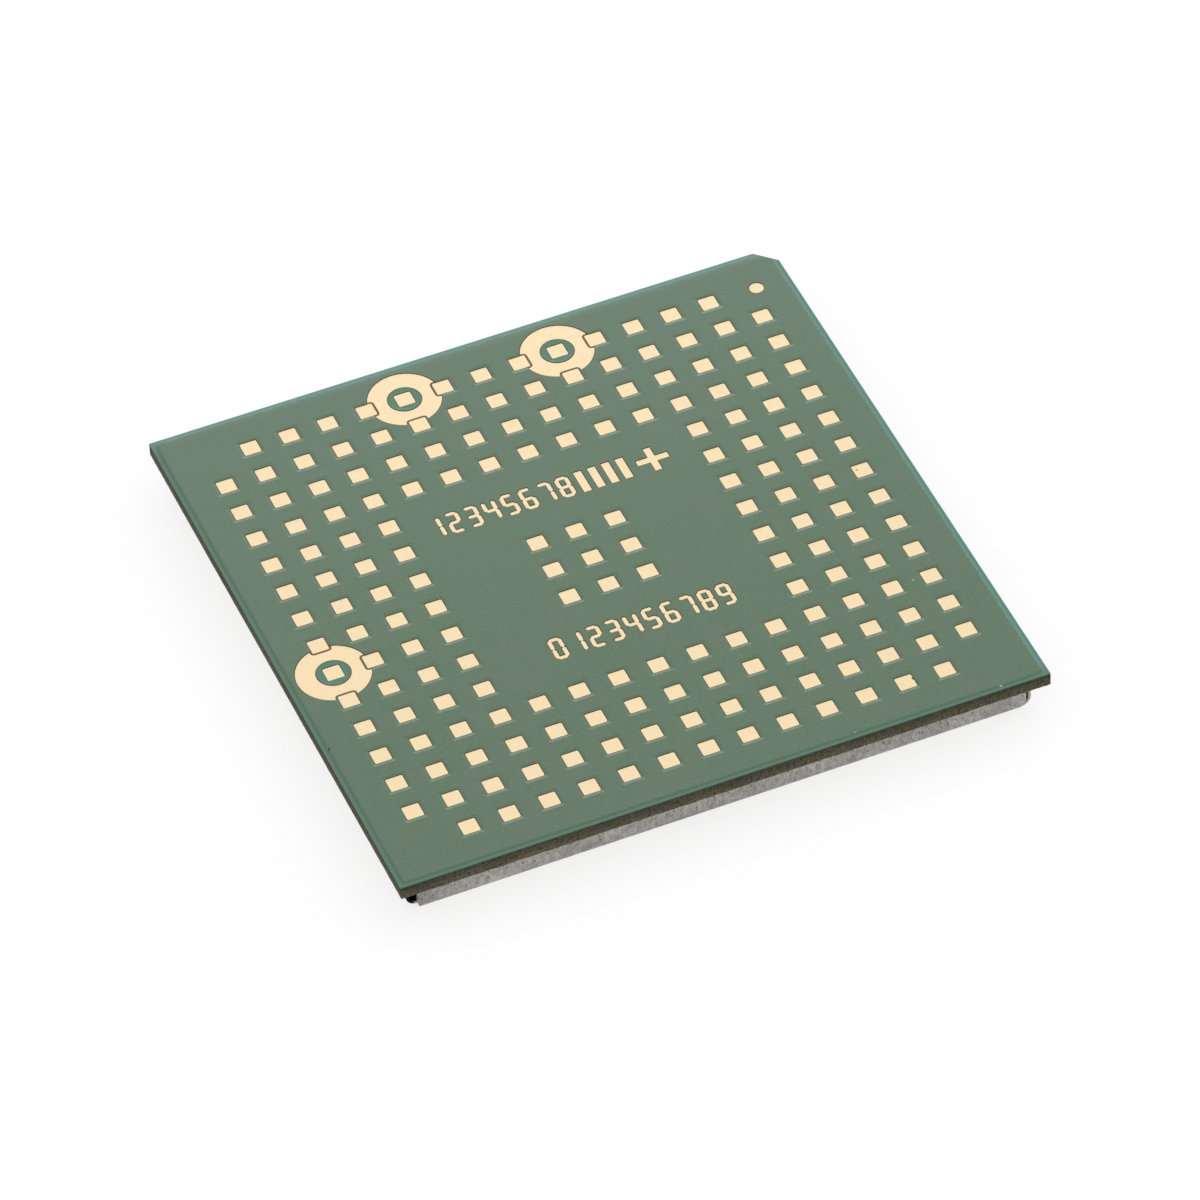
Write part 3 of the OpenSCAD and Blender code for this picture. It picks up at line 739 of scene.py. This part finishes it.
@dataclass(frozen=True)
class TinnedSheet(Finish):
    """Matt tinned sheet with soft upright blotches and broken dark marks, and near-black painted shade in
    the left front corner.

    Attributes:
        mark: colour of blotches and marks.
        mark_mm: width of a mark.
        mark_share: share of the cells that hold a mark.
        mark_radius: radius of a mark, as a share of its width.
        mark_stretch: how much higher than wide marks and blotches are.
        bend_mm: width of the bends that break up a mark, and how far they shift it.
        band_mm: height of the marks' middle above the lid, and how far they spread from it.
        band_core: share of that spread in which they are strongest.
        band_fade: how strong marks are there, and past the spread.
        blotch_mm: width of the blotches.
        blotch_share: the most that a blotch darkens.
        drift_mm: length over which the sheet grows darker and lighter.
        drift_share: the most that it darkens.
        lid: colour that the lid is close to.
        lid_share: how much of the walls' drift, blotches and grain the lid shows.
        lid_mm: height above the lid at which they show in full.
        painted_corner_shade: near-black colour painted where shadow falls in the left front corner.
        painted_corner_shade_mm: reach of the painted shade from the left front corner.
        painted_corner_shade_slim: width of the painted shade, as a share of its height.
        painted_corner_shade_gap_mm: how far the painted shade keeps behind the front wall's face, at its
            edge and in full.
    """

    mark: Shade = shade(92, 88, 85)
    mark_mm: float = 0.16
    mark_share: float = 0.42
    mark_radius: float = 0.4
    mark_stretch: float = 1.6
    bend_mm: tuple[float, float] = (0.07, 0.08)
    band_mm: tuple[float, float] = (0.8, 0.45)
    band_core: float = 0.2
    band_fade: Span = (0.75, 0.15)
    blotch_mm: float = 0.2
    blotch_share: float = 0.4
    drift_mm: float = 1.3
    drift_share: float = 0.26
    lid: Shade = shade(164, 160, 156)
    lid_share: float = 0.4
    lid_mm: float = 0.28
    painted_corner_shade: Shade = shade(24, 22, 19)
    painted_corner_shade_mm: float = 0.42
    painted_corner_shade_slim: float = 0.4
    painted_corner_shade_gap_mm: tuple[float, float] = (0.13, 0.15)

    def bent(self, graph: Graph, place: Socket) -> Socket:
        """Shifts a place to and fro by noise, which breaks up the marks that read it.

        Args:
            graph: the material's graph.
            place: the place on the surface.

        Returns:
            The shifted place.
        """
        width, reach = (value * MM for value in self.bend_mm)
        noise_feeds = {"Vector": place, "Scale": 1 / width, "Detail": BEND_DETAIL}
        noise = graph.add("ShaderNodeTexNoise", noise_feeds).outputs["Color"]
        centred = graph.add("ShaderNodeVectorMath", {0: noise, 1: NOISE_MIDDLE}, operation="SUBTRACT")
        feeds = {0: centred.outputs[0], 1: (2 * reach,) * 3, 2: place}
        return graph.add("ShaderNodeVectorMath", feeds, operation="MULTIPLY_ADD").outputs[0]

    def colours(self, graph: Graph, place: Socket, grain: Socket) -> Socket:
        """Mixes the sheet's grain, the drift, blotches and marks on it, the plainer lid and the painted
        shade in the left front corner.

        Args:
            graph: the material's graph.
            place: the place on the surface.
            grain: the grain, from 0 to 1.

        Returns:
            The colour over the sheet.
        """
        sheet = graph.mix(grain, self.colour, self.second)
        shrink = (1.0, 1.0, 1 / self.mark_stretch)
        upright = graph.add("ShaderNodeMapping", {"Vector": place, "Scale": shrink}).outputs[0]
        spots = {"Scale": 1 / (self.mark_mm * MM), "Radius": self.mark_radius, "Share": self.mark_share}
        spot = graph.effect(pits_effect(), Place=self.bent(graph, upright), **spots)
        height = graph.axes(place)[2]
        middle, spread = (value * MM for value in self.band_mm)
        off_band = graph.math("ABSOLUTE", graph.math("SUBTRACT", height, middle))
        strength = graph.span(off_band, self.band_core * spread, spread, *self.band_fade)
        marks = graph.math("MULTIPLY", spot, strength)
        blotches = graph.grain(upright, self.blotch_mm, high=self.blotch_share)
        drift = graph.grain(place, self.drift_mm, high=self.drift_share)
        sheet = graph.mix(drift, sheet, self.mark)
        sheet = graph.mix(graph.math("MAXIMUM", marks, blotches), sheet, self.mark)
        full = graph.span(height, 0.0, self.lid_mm * MM, self.lid_share, 1.0)
        # Painted shade: the left front corner, behind the front wall, is painted near black where shadow
        # falls.
        return graph.mix(self.painted_corner_shade_field(graph, place), graph.mix(full, self.lid, sheet), self.painted_corner_shade)

    def painted_corner_shade_field(self, graph: Graph, place: Socket) -> Socket:
        """Marks where the painted shade goes: the left front corner, behind the front wall.

        Args:
            graph: the material's graph.
            place: the place on the sheet.

        Returns:
            A field that is 1 there.
        """
        low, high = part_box("shield_can")
        shrink = (1.0, 1.0, self.painted_corner_shade_slim)
        flat = graph.add("ShaderNodeMapping", {"Vector": place, "Scale": shrink}).outputs[0]
        corner = (low.x, low.y + self.painted_corner_shade_mm * MM, self.painted_corner_shade_slim * (low.z + high.z) / 2)
        near = graph.near(flat, corner, self.painted_corner_shade_mm * MM)
        start, end = (low.y + gap * MM for gap in self.painted_corner_shade_gap_mm)
        behind = graph.span(graph.axes(place)[1], start, end)
        return graph.math("MULTIPLY", near, behind)


@dataclass(frozen=True)
class Board:
    """Sizes of the board that finishes and pieces follow, in metres.

    Attributes:
        half: half of the board's side.
        diagonal: sum of x and y along the cut corner.
        top: level of the mask's face.
        plate: level of the lands.
        feeds: middles of the antenna lands.
        ring_hole: inner radius of a ground ring.
        pitch: distance from land to land.
        land_half: half of a land's side.
    """

    half: float
    diagonal: float
    top: float
    plate: float
    feeds: tuple[Vector, ...]
    ring_hole: float
    pitch: float
    land_half: float

    @staticmethod
    @functools.cache
    def read() -> "Board":
        """Reads the board from the frame.

        Returns:
            The board's sizes.
        """
        laminate = corners("board_laminate")
        lands = corners("antenna_feed_lands")
        far = lands[:, 1] > 0
        groups = [lands[far & (lands[:, 0] < 0)], lands[far & (lands[:, 0] > 0)], lands[~far]]
        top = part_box("land_side_mask")[1].z
        feeds = [np.append((group.min(0) + group.max(0))[:2] / 2, top) for group in groups]
        rings = corners("antenna_ground_rings")
        ring_hole = np.linalg.norm(rings[:, :2] - feeds[0][:2], axis=1).min()
        block = np.abs(corners("centre_lands")[:, 0])
        land_half = block[block < block.max() / 2].max()
        return Board(
            half=laminate[:, 0].max(),
            diagonal=(laminate[:, 0] + laminate[:, 1]).max(),
            top=top,
            plate=lands[:, 2].max(),
            feeds=tuple(map(Vector, feeds)),
            ring_hole=ring_hole,
            pitch=block.max() - land_half,
            land_half=land_half,
        )


MASK = MaskFilm(
    "mask_film", shade(83, 111, 86), shade(95, 123, 98), gloss=(0.38, 0.46),
    grain_mm=0.07, relief_mm=0.0016,
    flecks_mm=((11.3, -6.83, 0.05), (12.0, -13.9, 0.06), (5.64, -13.8, 0.042)),
)
GOLD = GoldPlate(
    "gold_plate", shade(245, 223, 185), shade(240, 217, 177), metallic=1.0, gloss=(0.32, 0.4),
    grain_mm=0.12, relief_mm=0.0008,
)
LAMINATE = CutLaminate(
    "cut_laminate", shade(72, 70, 54), shade(158, 150, 127), gloss=(0.75, 0.9),
    grain_mm=0.07, relief_mm=0.006, sheen=0.2,
)
SHEET = TinnedSheet(
    "tinned_sheet", shade(160, 156, 151), shade(206, 201, 197), metallic=1.0, gloss=(0.42, 0.55),
    grain_mm=0.07, relief_mm=0.002,
)


class Metal(Enum):
    """Plain metals on the board's lower side."""

    COPPER = Finish(
        "bare_copper", shade(196, 130, 96), shade(184, 116, 84),
        metallic=1.0, gloss=(0.3, 0.45), grain_mm=0.1, relief_mm=0.001,
    )
    SOLDER = Finish(
        "matt_solder", shade(190, 190, 188), shade(170, 170, 169),
        metallic=1.0, gloss=(0.3, 0.5), grain_mm=0.12, relief_mm=0.003,
    )
    SEAL = Finish(
        "sealing_lid", shade(224, 196, 140), shade(214, 184, 128),
        metallic=1.0, gloss=(0.25, 0.35), grain_mm=0.2, relief_mm=0.001,
    )


class Solid(Enum):
    """Plain non-metals on the board's lower side."""

    MOULD = Finish(
        "black_moulding", shade(40, 40, 42), shade(48, 48, 50),
        gloss=(0.5, 0.65), grain_mm=0.06, relief_mm=0.003,
    )
    CERAMIC = Finish(
        "white_ceramic", shade(214, 208, 194), shade(204, 198, 182),
        gloss=(0.45, 0.6), grain_mm=0.08, relief_mm=0.002,
    )
    CAPACITOR = Finish(
        "tan_ceramic", shade(150, 120, 88), shade(138, 108, 78),
        gloss=(0.35, 0.5), grain_mm=0.1, relief_mm=0.002,
    )
    FERRITE = Finish(
        "pressed_ferrite", shade(66, 66, 68), shade(78, 78, 79),
        gloss=(0.5, 0.7), grain_mm=0.05, relief_mm=0.004,
    )
    PAD = Finish(
        "silicone_pad", shade(136, 160, 180), shade(126, 150, 172),
        gloss=(0.6, 0.8), grain_mm=0.12, relief_mm=0.004,
    )


def dress(finish: Finish, *nodes: str) -> None:
    """Gives nodes of the frame a finish.

    Args:
        finish: the finish.
        nodes: names of the nodes.
    """
    for node in nodes:
        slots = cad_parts[node].data.materials
        slots.clear()
        slots.append(finish.material())
        LOG.info("%s: %s", node, finish.name)


@dataclass
class LandSide:
    """The board's upper side: mask film, lands, ground rings, dot and marks.

    Attributes:
        film: finish of the mask.
        plate: finish of the lands.
        lands: nodes that are plated.
    """

    film: MaskFilm = MASK
    plate: GoldPlate = GOLD
    lands: tuple[str, ...] = (
        "signal_lands", "centre_lands", "antenna_feed_lands", "antenna_ground_rings", "orientation_dot",
        "etched_marks",
    )

    def build(self) -> None:
        """Dresses the film and the plated copper."""
        dress(self.film, "land_side_mask")
        dress(self.plate, *self.lands)


@dataclass
class BoardCore:
    """The laminate, the film on its other side and the burr that the cutter left along the lower edges.

    Attributes:
        laminate: finish of the laminate and the burr.
        film: finish of the film.
        drop_mm: longest reach of the burr below the board.
        thick_mm: thickness of the burr at its root.
        grip_mm: how far it reaches up inside the film.
        inset_mm: distance of the burr from the cut faces.
        end_mm: distance of a burr's ends from the board's corners.
        pitch_mm: distance from ring to ring along the burr.
        blur_mm: length over which the burr's reach changes.
        bell_rings: rings on each side that the smoothing takes in.
        reach: mean and spread of the reach, as shares of the longest.
        least: shortest reach, as a share of the longest.
        tip: thickness at the lower border, as a share of that at the root.
        rows: rows of points from the root to the lower border.
        seed: start of the random reach.
    """

    laminate: CutLaminate = LAMINATE
    film: MaskFilm = MASK
    drop_mm: float = 0.035
    thick_mm: float = 0.035
    grip_mm: float = 0.012
    inset_mm: float = 0.004
    end_mm: float = 0.05
    pitch_mm: float = 0.03
    blur_mm: float = 0.07
    bell_rings: int = 9
    reach: Span = (0.3, 0.3)
    least: float = 0.04
    tip: float = 0.2
    rows: int = 5
    seed: int = 5

    def burr(self, rng: np.random.Generator, start: float, end: float) -> Mesh:
        """Works out the burr under the front edge.

        A thin upright sheet runs along X. Its lower border hangs below the film by a random reach:
        white noise, smoothed along the edge by a bell curve and kept between the shortest and the
        longest reach. The sheet thins evenly towards that border.

        Args:
            rng: source of the random reach.
            start: what the cut corner takes off its left end.
            end: what the cut corner takes off its right end.

        Returns:
            Its points and faces.
        """
        half = Board.read().half
        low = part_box("component_side_mask")[0].z
        margin = self.end_mm * MM
        along = np.arange(start + margin - half, half - margin - end, self.pitch_mm * MM)
        spread = np.arange(-self.bell_rings, self.bell_rings + 1) * self.pitch_mm / self.blur_mm
        bell = np.exp(-(spread**2) / 2)
        noise = np.convolve(rng.normal(size=len(along)), bell / np.linalg.norm(bell), mode="same")
        mean, change = self.reach
        reach = self.drop_mm * MM * np.clip(mean + change * noise, self.least, 1.0)
        levels = np.linspace(1, 0, self.rows)[:, None]
        x = np.broadcast_to(along, (len(levels), len(along)))
        z = (low + self.grip_mm * MM) * np.ones_like(x) - levels * (reach + self.grip_mm * MM)
        front = np.full_like(x, self.inset_mm * MM - half)
        back = front + self.thick_mm * MM * (1 - (1 - self.tip) * levels)
        return shell(np.stack([x, front, z], axis=-1), np.stack([x, back, z], axis=-1))

    def build(self) -> None:
        """Dresses the laminate and its film, and builds the burr."""
        dress(self.laminate, "board_laminate")
        dress(self.film, "component_side_mask")
        board = Board.read()
        cut = 2 * board.half - board.diagonal
        rng = np.random.default_rng(self.seed)
        ends = ((0.0, 0.0), (0.0, cut), (cut, 0.0), (0.0, 0.0))
        runs = [turned(self.burr(rng, *gaps), quarter) for quarter, gaps in enumerate(ends)]
        make_piece("cut_burr", runs, self.laminate.material())


@dataclass
class ShieldCan:
    """Folded sheet can: a lid, four flaps on round bends, and solder along their rims.

    Attributes:
        sheet: finish of the can.
        sheet_mm: thickness of the sheet.
        bend_mm: outside radius of the bends.
        flap_end_mm: distance from a side wall to the ends of the front and back flaps.
        side_end_mm: mean distance from the front and back walls to the ends of the side flaps.
        side_shift_mm: shift of each side flap towards its left end, seen from outside.
        corner_mm: radius of the lower corners of the front and back flaps, left and right.
        sharp_mm: radius of the side flaps' lower corners, which look sharp.
        bend_steps: points round a bend.
        wall_steps: points up a wall.
        columns: points along a flap.
        lid_points: points along each side of the lid.
    """

    sheet: TinnedSheet = SHEET
    sheet_mm: float = 0.12
    bend_mm: float = 0.45
    flap_end_mm: float = 0.33
    side_end_mm: float = 0.38
    side_shift_mm: float = 0.1
    corner_mm: tuple[float, float] = (0.5, 0.72)
    sharp_mm: float = 0.001
    bend_steps: int = 14
    wall_steps: int = 16
    columns: int = 60
    lid_points: int = 20

    def flap(self, length: float, shift: float, radii: tuple[float, float]) -> Mesh:
        """Works out the front flap, or a side flap in the front flap's place.

        Across the flap runs a quarter circle about the bend's middle, then a straight wall. Along it
        the points spread evenly from end to end, and each end draws in by r - sqrt(r^2 - (r - z)^2)
        at a height z below its corner's radius r.

        Args:
            length: length of the flap.
            shift: distance of its middle to the right.
            radii: radii of its lower corners, left and right.

        Returns:
            Its points and faces.
        """
        low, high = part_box("shield_can")
        bend = self.bend_mm * MM
        turn = np.linspace(0, np.pi / 2, self.bend_steps)
        wall = np.linspace(bend, high.z, self.wall_steps + 1)[1:]
        share = np.linspace(0, 1, self.columns)
        faces = []
        for radius in (bend, bend - self.sheet_mm * MM):
            out = np.append(radius * np.sin(turn), np.full(self.wall_steps, radius))
            up = np.append(bend - radius * np.cos(turn), wall)
            below = (np.clip(corner - up, 0, corner) for corner in radii)
            left, right = (corner - np.sqrt(corner**2 - fall**2) for corner, fall in zip(radii, below))
            start = (shift - length / 2 + left)[:, None]
            end = (shift + length / 2 - right)[:, None]
            x = start + share * (end - start)
            y = (low.y + bend - out)[:, None] + 0 * x
            faces.append(np.stack([x, y, up[:, None] + 0 * x], axis=-1))
        return shell(*faces)

    def lid(self) -> Mesh:
        """Works out the lid: a level grid between the four bends, and the same grid one sheet higher.

        Returns:
            Its points and faces.
        """
        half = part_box("shield_can")[1].x - self.bend_mm * MM
        side = np.linspace(-half, half, self.lid_points)
        x, y = np.meshgrid(side, side[::-1])
        outside = np.stack([x, y, 0 * x], axis=-1)
        return shell(outside, outside + (0, 0, self.sheet_mm * MM))

    def build(self) -> None:
        """Builds the can in the place of its node, and its solder."""
        width = 2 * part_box("shield_can")[1].x
        radii = tuple(radius * MM for radius in self.corner_mm)
        front = self.flap(width - 2 * self.flap_end_mm * MM, 0.0, radii)
        sharp = (self.sharp_mm * MM,) * 2
        side = self.flap(width - 2 * self.side_end_mm * MM, -self.side_shift_mm * MM, sharp)
        flaps = [turned((front, side)[quarter % 2], quarter) for quarter in range(4)]
        piece = make_piece("formed_can", [self.lid(), *flaps], self.sheet.material())
        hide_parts("shield_can")
        RimSolder().build()


@dataclass
class RimSolder:
    """Solder fillet along the outside of the can's rim, one run on each flap.

    Attributes:
        out_mm: how far the fillet reaches over the seam.
        down_mm: how far it climbs the wall.
        wave_mm: length of its waves.
        swells: how much the first and second waves take off its size, as shares.
        second: how many second waves a first wave holds.
        phase_step: shift of the waves from flap to flap.
        fade_power: how suddenly a run ends.
        fade_least: what is left at its very ends, as a squared share.
        inset_mm: distance of a run's ends from the flap's ends.
        steps: rings along a run.
        bow: points across the fillet's hollow face.
        level_mm: how far below the can's highest points its rim is looked for.
        wall_mm: how far behind a flap's face its points are looked for.
    """

    out_mm: float = 0.085
    down_mm: float = 0.13
    wave_mm: float = 1.7
    swells: Span = (0.16, 0.12)
    second: float = 2.7
    phase_step: float = 1.3
    fade_power: int = 40
    fade_least: float = 0.02
    inset_mm: float = 0.06
    steps: int = 220
    bow: int = 9
    level_mm: float = 0.001
    wall_mm: float = 0.01

    def run(self, start: float, end: float, phase: float) -> Mesh:
        """Works out the run on the front flap.

        A hollow quarter arc, and the corner behind it, are carried along X. Both legs of the arc swell
        and shrink as a sum of two sines, and both fade at the ends as the root of a rounded step.

        Args:
            start: left end of the flap.
            end: right end of the flap.
            phase: start of the waves.

        Returns:
            Its points and faces.
        """
        low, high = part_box("shield_can")
        along = np.linspace(start + self.inset_mm * MM, end - self.inset_mm * MM, self.steps)
        turn = 2 * np.pi * along / (self.wave_mm * MM) + phase
        waves = (np.sin(turn), np.sin(self.second * turn + phase))
        swell = 1 - sum(depth * (1 + wave) / 2 for depth, wave in zip(self.swells, waves))
        ends = np.abs(np.linspace(-1, 1, self.steps)) ** self.fade_power
        fade = np.sqrt(np.clip(1 - ends, self.fade_least, 1))
        arc = np.linspace(np.pi / 2, 0, self.bow)[:, None]
        x = np.broadcast_to(along, (self.bow, self.steps))
        out = (1 - np.sin(arc)) * self.out_mm * MM * swell * fade
        down = (1 - np.cos(arc)) * self.down_mm * MM * swell * fade
        hollow = np.stack([x, low.y - out, high.z - down], axis=-1)
        behind = np.stack([x, low.y + 0 * out, high.z + 0 * down], axis=-1)
        return shell(hollow, behind)

    def build(self) -> None:
        """Builds the four runs as one piece."""
        rim = corners("shield_can")
        rim = rim[rim[:, 2] > rim[:, 2].max() - self.level_mm * MM]
        no_faces = np.empty((0, 4), dtype=int)
        runs = []
        for quarter in range(4):
            here, _ = turned((rim, no_faces), -quarter)
            flap = here[here[:, 1] < here[:, 1].min() + self.wall_mm * MM]
            run = self.run(flap[:, 0].min(), flap[:, 0].max(), self.phase_step * quarter)
            runs.append(turned(run, quarter))
        make_piece("rim_solder", runs, Metal.SOLDER.value.material())


@dataclass
class ComponentSide:
    """What the can hides: copper, solder, packages and small parts on the board's lower side.

    Attributes:
        finishes: nodes that take each finish.
    """

    finishes: dict[Enum, tuple[str, ...]] = field(default_factory=lambda: {
        Metal.COPPER: ("shield_track", "component_pads"),
        Metal.SOLDER: ("can_solder_seam", "solder_joints", "solder_balls", "chip_terminals"),
        Metal.SEAL: ("oscillator_lid", "crystal_lid"),
        Solid.MOULD: (
            "baseband_processor", "memory_package", "power_manager", "radio_transceiver",
            "high_band_amplifier", "low_band_amplifier", "antenna_switch", "duplexers", "receive_filters",
            "positioning_amplifier", "chip_resistors",
        ),
        Solid.CERAMIC: ("oscillator_base", "crystal_base", "matching_inductors"),
        Solid.CAPACITOR: ("bulk_capacitors", "decoupling_capacitors"),
        Solid.FERRITE: ("power_inductors",),
        Solid.PAD: ("heat_pad",),
    })

    def build(self) -> None:
        """Dresses every node."""
        for finish, nodes in self.finishes.items():
            dress(finish.value, *nodes)


@dataclass
class Lamp:
    """A soft square lamp.

    Attributes:
        name: name of the lamp.
        place_mm: place of its middle.
        side_mm: length of its side.
        level: brightness of its face, where 1 is white.
    """

    name: str
    place_mm: tuple[float, float, float]
    side_mm: float
    level: float

    def hang(self) -> None:
        """Hangs the lamp at its place, facing the object."""
        lamp = bpy.data.lights.new(self.name, "AREA")
        lamp.size = self.side_mm * MM
        lamp.energy = self.level * math.pi * lamp.size**2
        holder = bpy.data.objects.new(self.name, lamp)
        place = Vector(self.place_mm) * MM
        turn = (-place).to_track_quat("-Z", "Y").to_matrix().to_4x4()
        holder.matrix_world = Matrix.Translation(place) @ turn
        bpy.context.scene.collection.objects.link(holder)


@dataclass
class Camera:
    """The photograph's view, given by the point at its middle and by angles.

    Attributes:
        target_mm: point at the middle of the picture.
        distance_mm: distance from that point.
        azimuth_deg: how far the camera stands left of the front.
        elevation_deg: how far it looks down.
        roll_deg: turn about its own line of sight.
        lens_mm: focal length.
        sensor_mm: width of its sensor.
    """

    target_mm: tuple[float, float, float] = (-0.693, -2.468, 2.2)
    distance_mm: float = 359.653
    azimuth_deg: float = 20.294
    elevation_deg: float = 44.352
    roll_deg: float = -3.469
    lens_mm: float = 265.202
    sensor_mm: float = 36.0

    def stand(self) -> None:
        """Puts the camera in its place and makes it the scene's camera."""
        angles = (self.azimuth_deg, self.elevation_deg, self.roll_deg)
        turn, dip, roll = map(math.radians, angles)
        ahead = Vector((math.sin(turn) * math.cos(dip), math.cos(turn) * math.cos(dip), -math.sin(dip)))
        level = ahead.cross(Vector((0, 0, 1))).normalized()
        across = level * math.cos(roll) + level.cross(ahead) * math.sin(roll)
        up = across.cross(ahead)
        place = (Vector(self.target_mm) - ahead * self.distance_mm) * MM
        lens = bpy.data.cameras.new("camera")
        lens.lens = self.lens_mm
        lens.sensor_width = self.sensor_mm
        holder = bpy.data.objects.new("camera", lens)
        axes = Matrix((across, up, -ahead)).transposed().to_4x4()
        holder.matrix_world = Matrix.Translation(place) @ axes
        bpy.context.scene.collection.objects.link(holder)
        bpy.context.scene.camera = holder


@dataclass
class Studio:
    """White floor, soft light and the view.

    Attributes:
        floor_mm: side of the floor.
        floor_gap_mm: how far the floor lies under the lid, so that the two faces don't fall together.
        floor_share: share of light that the floor returns.
        floor_glow: what the floor adds where it is seen, so that it looks white but keeps its shadow.
        sky: light from all round.
        lamps: the lamps.
    """

    floor_mm: float = 4000.0
    floor_gap_mm: float = 0.02
    floor_share: float = 0.3
    floor_glow: float = 0.75
    sky: float = 0.85
    lamps: tuple[Lamp, ...] = (
        Lamp("far_lamp", (55.0, 170.0, 34.0), 80.0, 2.4),
        Lamp("right_lamp", (140.0, 30.0, 60.0), 70.0, 0.9),
    )

    @staticmethod
    def seen(graph: Graph) -> Socket:
        """Picks the rays of the camera's own view: straight, in metal or through glass.

        Args:
            graph: the graph of the floor or of the sky.

        Returns:
            A value that is 1 on those rays, and 0 on rays that only bring light.
        """
        path = graph.add("ShaderNodeLightPath").outputs
        straight = graph.math("MAXIMUM", path["Is Camera Ray"], path["Is Glossy Ray"])
        return graph.math("MAXIMUM", straight, path["Is Transmission Ray"])

    def lay_floor(self) -> None:
        """Lays the floor: it returns light as a grey floor does, glows a little and is clear from below."""
        reach = self.floor_mm * MM / 2
        level = -self.floor_gap_mm * MM
        mesh = bpy.data.meshes.new("floor")
        turns = ((-1, -1), (1, -1), (1, 1), (-1, 1))
        mesh.from_pydata([(x * reach, y * reach, level) for x, y in turns], [], [(0, 1, 2, 3)])
        material = bpy.data.materials.new("floor")
        material.use_nodes = True
        graph = Graph(material.node_tree)
        matt = graph.add("ShaderNodeBsdfDiffuse", {"Color": (self.floor_share,) * 3 + (1.0,)})
        strength = graph.math("MULTIPLY", self.seen(graph), self.floor_glow)
        glow = graph.add("ShaderNodeEmission", {"Strength": strength})
        both = graph.add("ShaderNodeAddShader", {0: matt.outputs[0], 1: glow.outputs[0]})
        below = graph.add("ShaderNodeNewGeometry").outputs["Backfacing"]
        clear = graph.add("ShaderNodeBsdfTransparent")
        surface = graph.add("ShaderNodeMixShader", {0: below, 1: both.outputs[0], 2: clear.outputs[0]})
        graph.add("ShaderNodeOutputMaterial", {"Surface": surface.outputs[0]})
        mesh.materials.append(material)
        floor = bpy.data.objects.new("floor", mesh)
        bpy.context.scene.collection.objects.link(floor)

    def light(self) -> None:
        """Lights the scene from all round and hangs the lamps."""
        world = bpy.data.worlds.new("studio")
        world.use_nodes = True
        graph = Graph(world.node_tree)
        strength = graph.span(self.seen(graph), 0.0, 1.0, self.sky, 1.0)
        sky = graph.add("ShaderNodeBackground", {"Color": (1.0, 1.0, 1.0, 1.0), "Strength": strength})
        graph.add("ShaderNodeOutputWorld", {"Surface": sky.outputs[0]})
        bpy.context.scene.world = world
        for lamp in self.lamps:
            lamp.hang()

    def set_up(self) -> None:
        """Builds the whole studio."""
        self.lay_floor()
        self.light()
        Camera().stand()
        bpy.context.scene.view_settings.view_transform = "Standard"
        LOG.info("studio: floor, sky and %d lamps", len(self.lamps))


def main() -> None:
    """Builds every sub-assembly and sets up the studio."""
    logging.basicConfig(level=logging.INFO)
    for part in (LandSide(), BoardCore(), ShieldCan(), ComponentSide()):
        part.build()
    Studio().set_up()


if __name__ == "__main__":
    main()
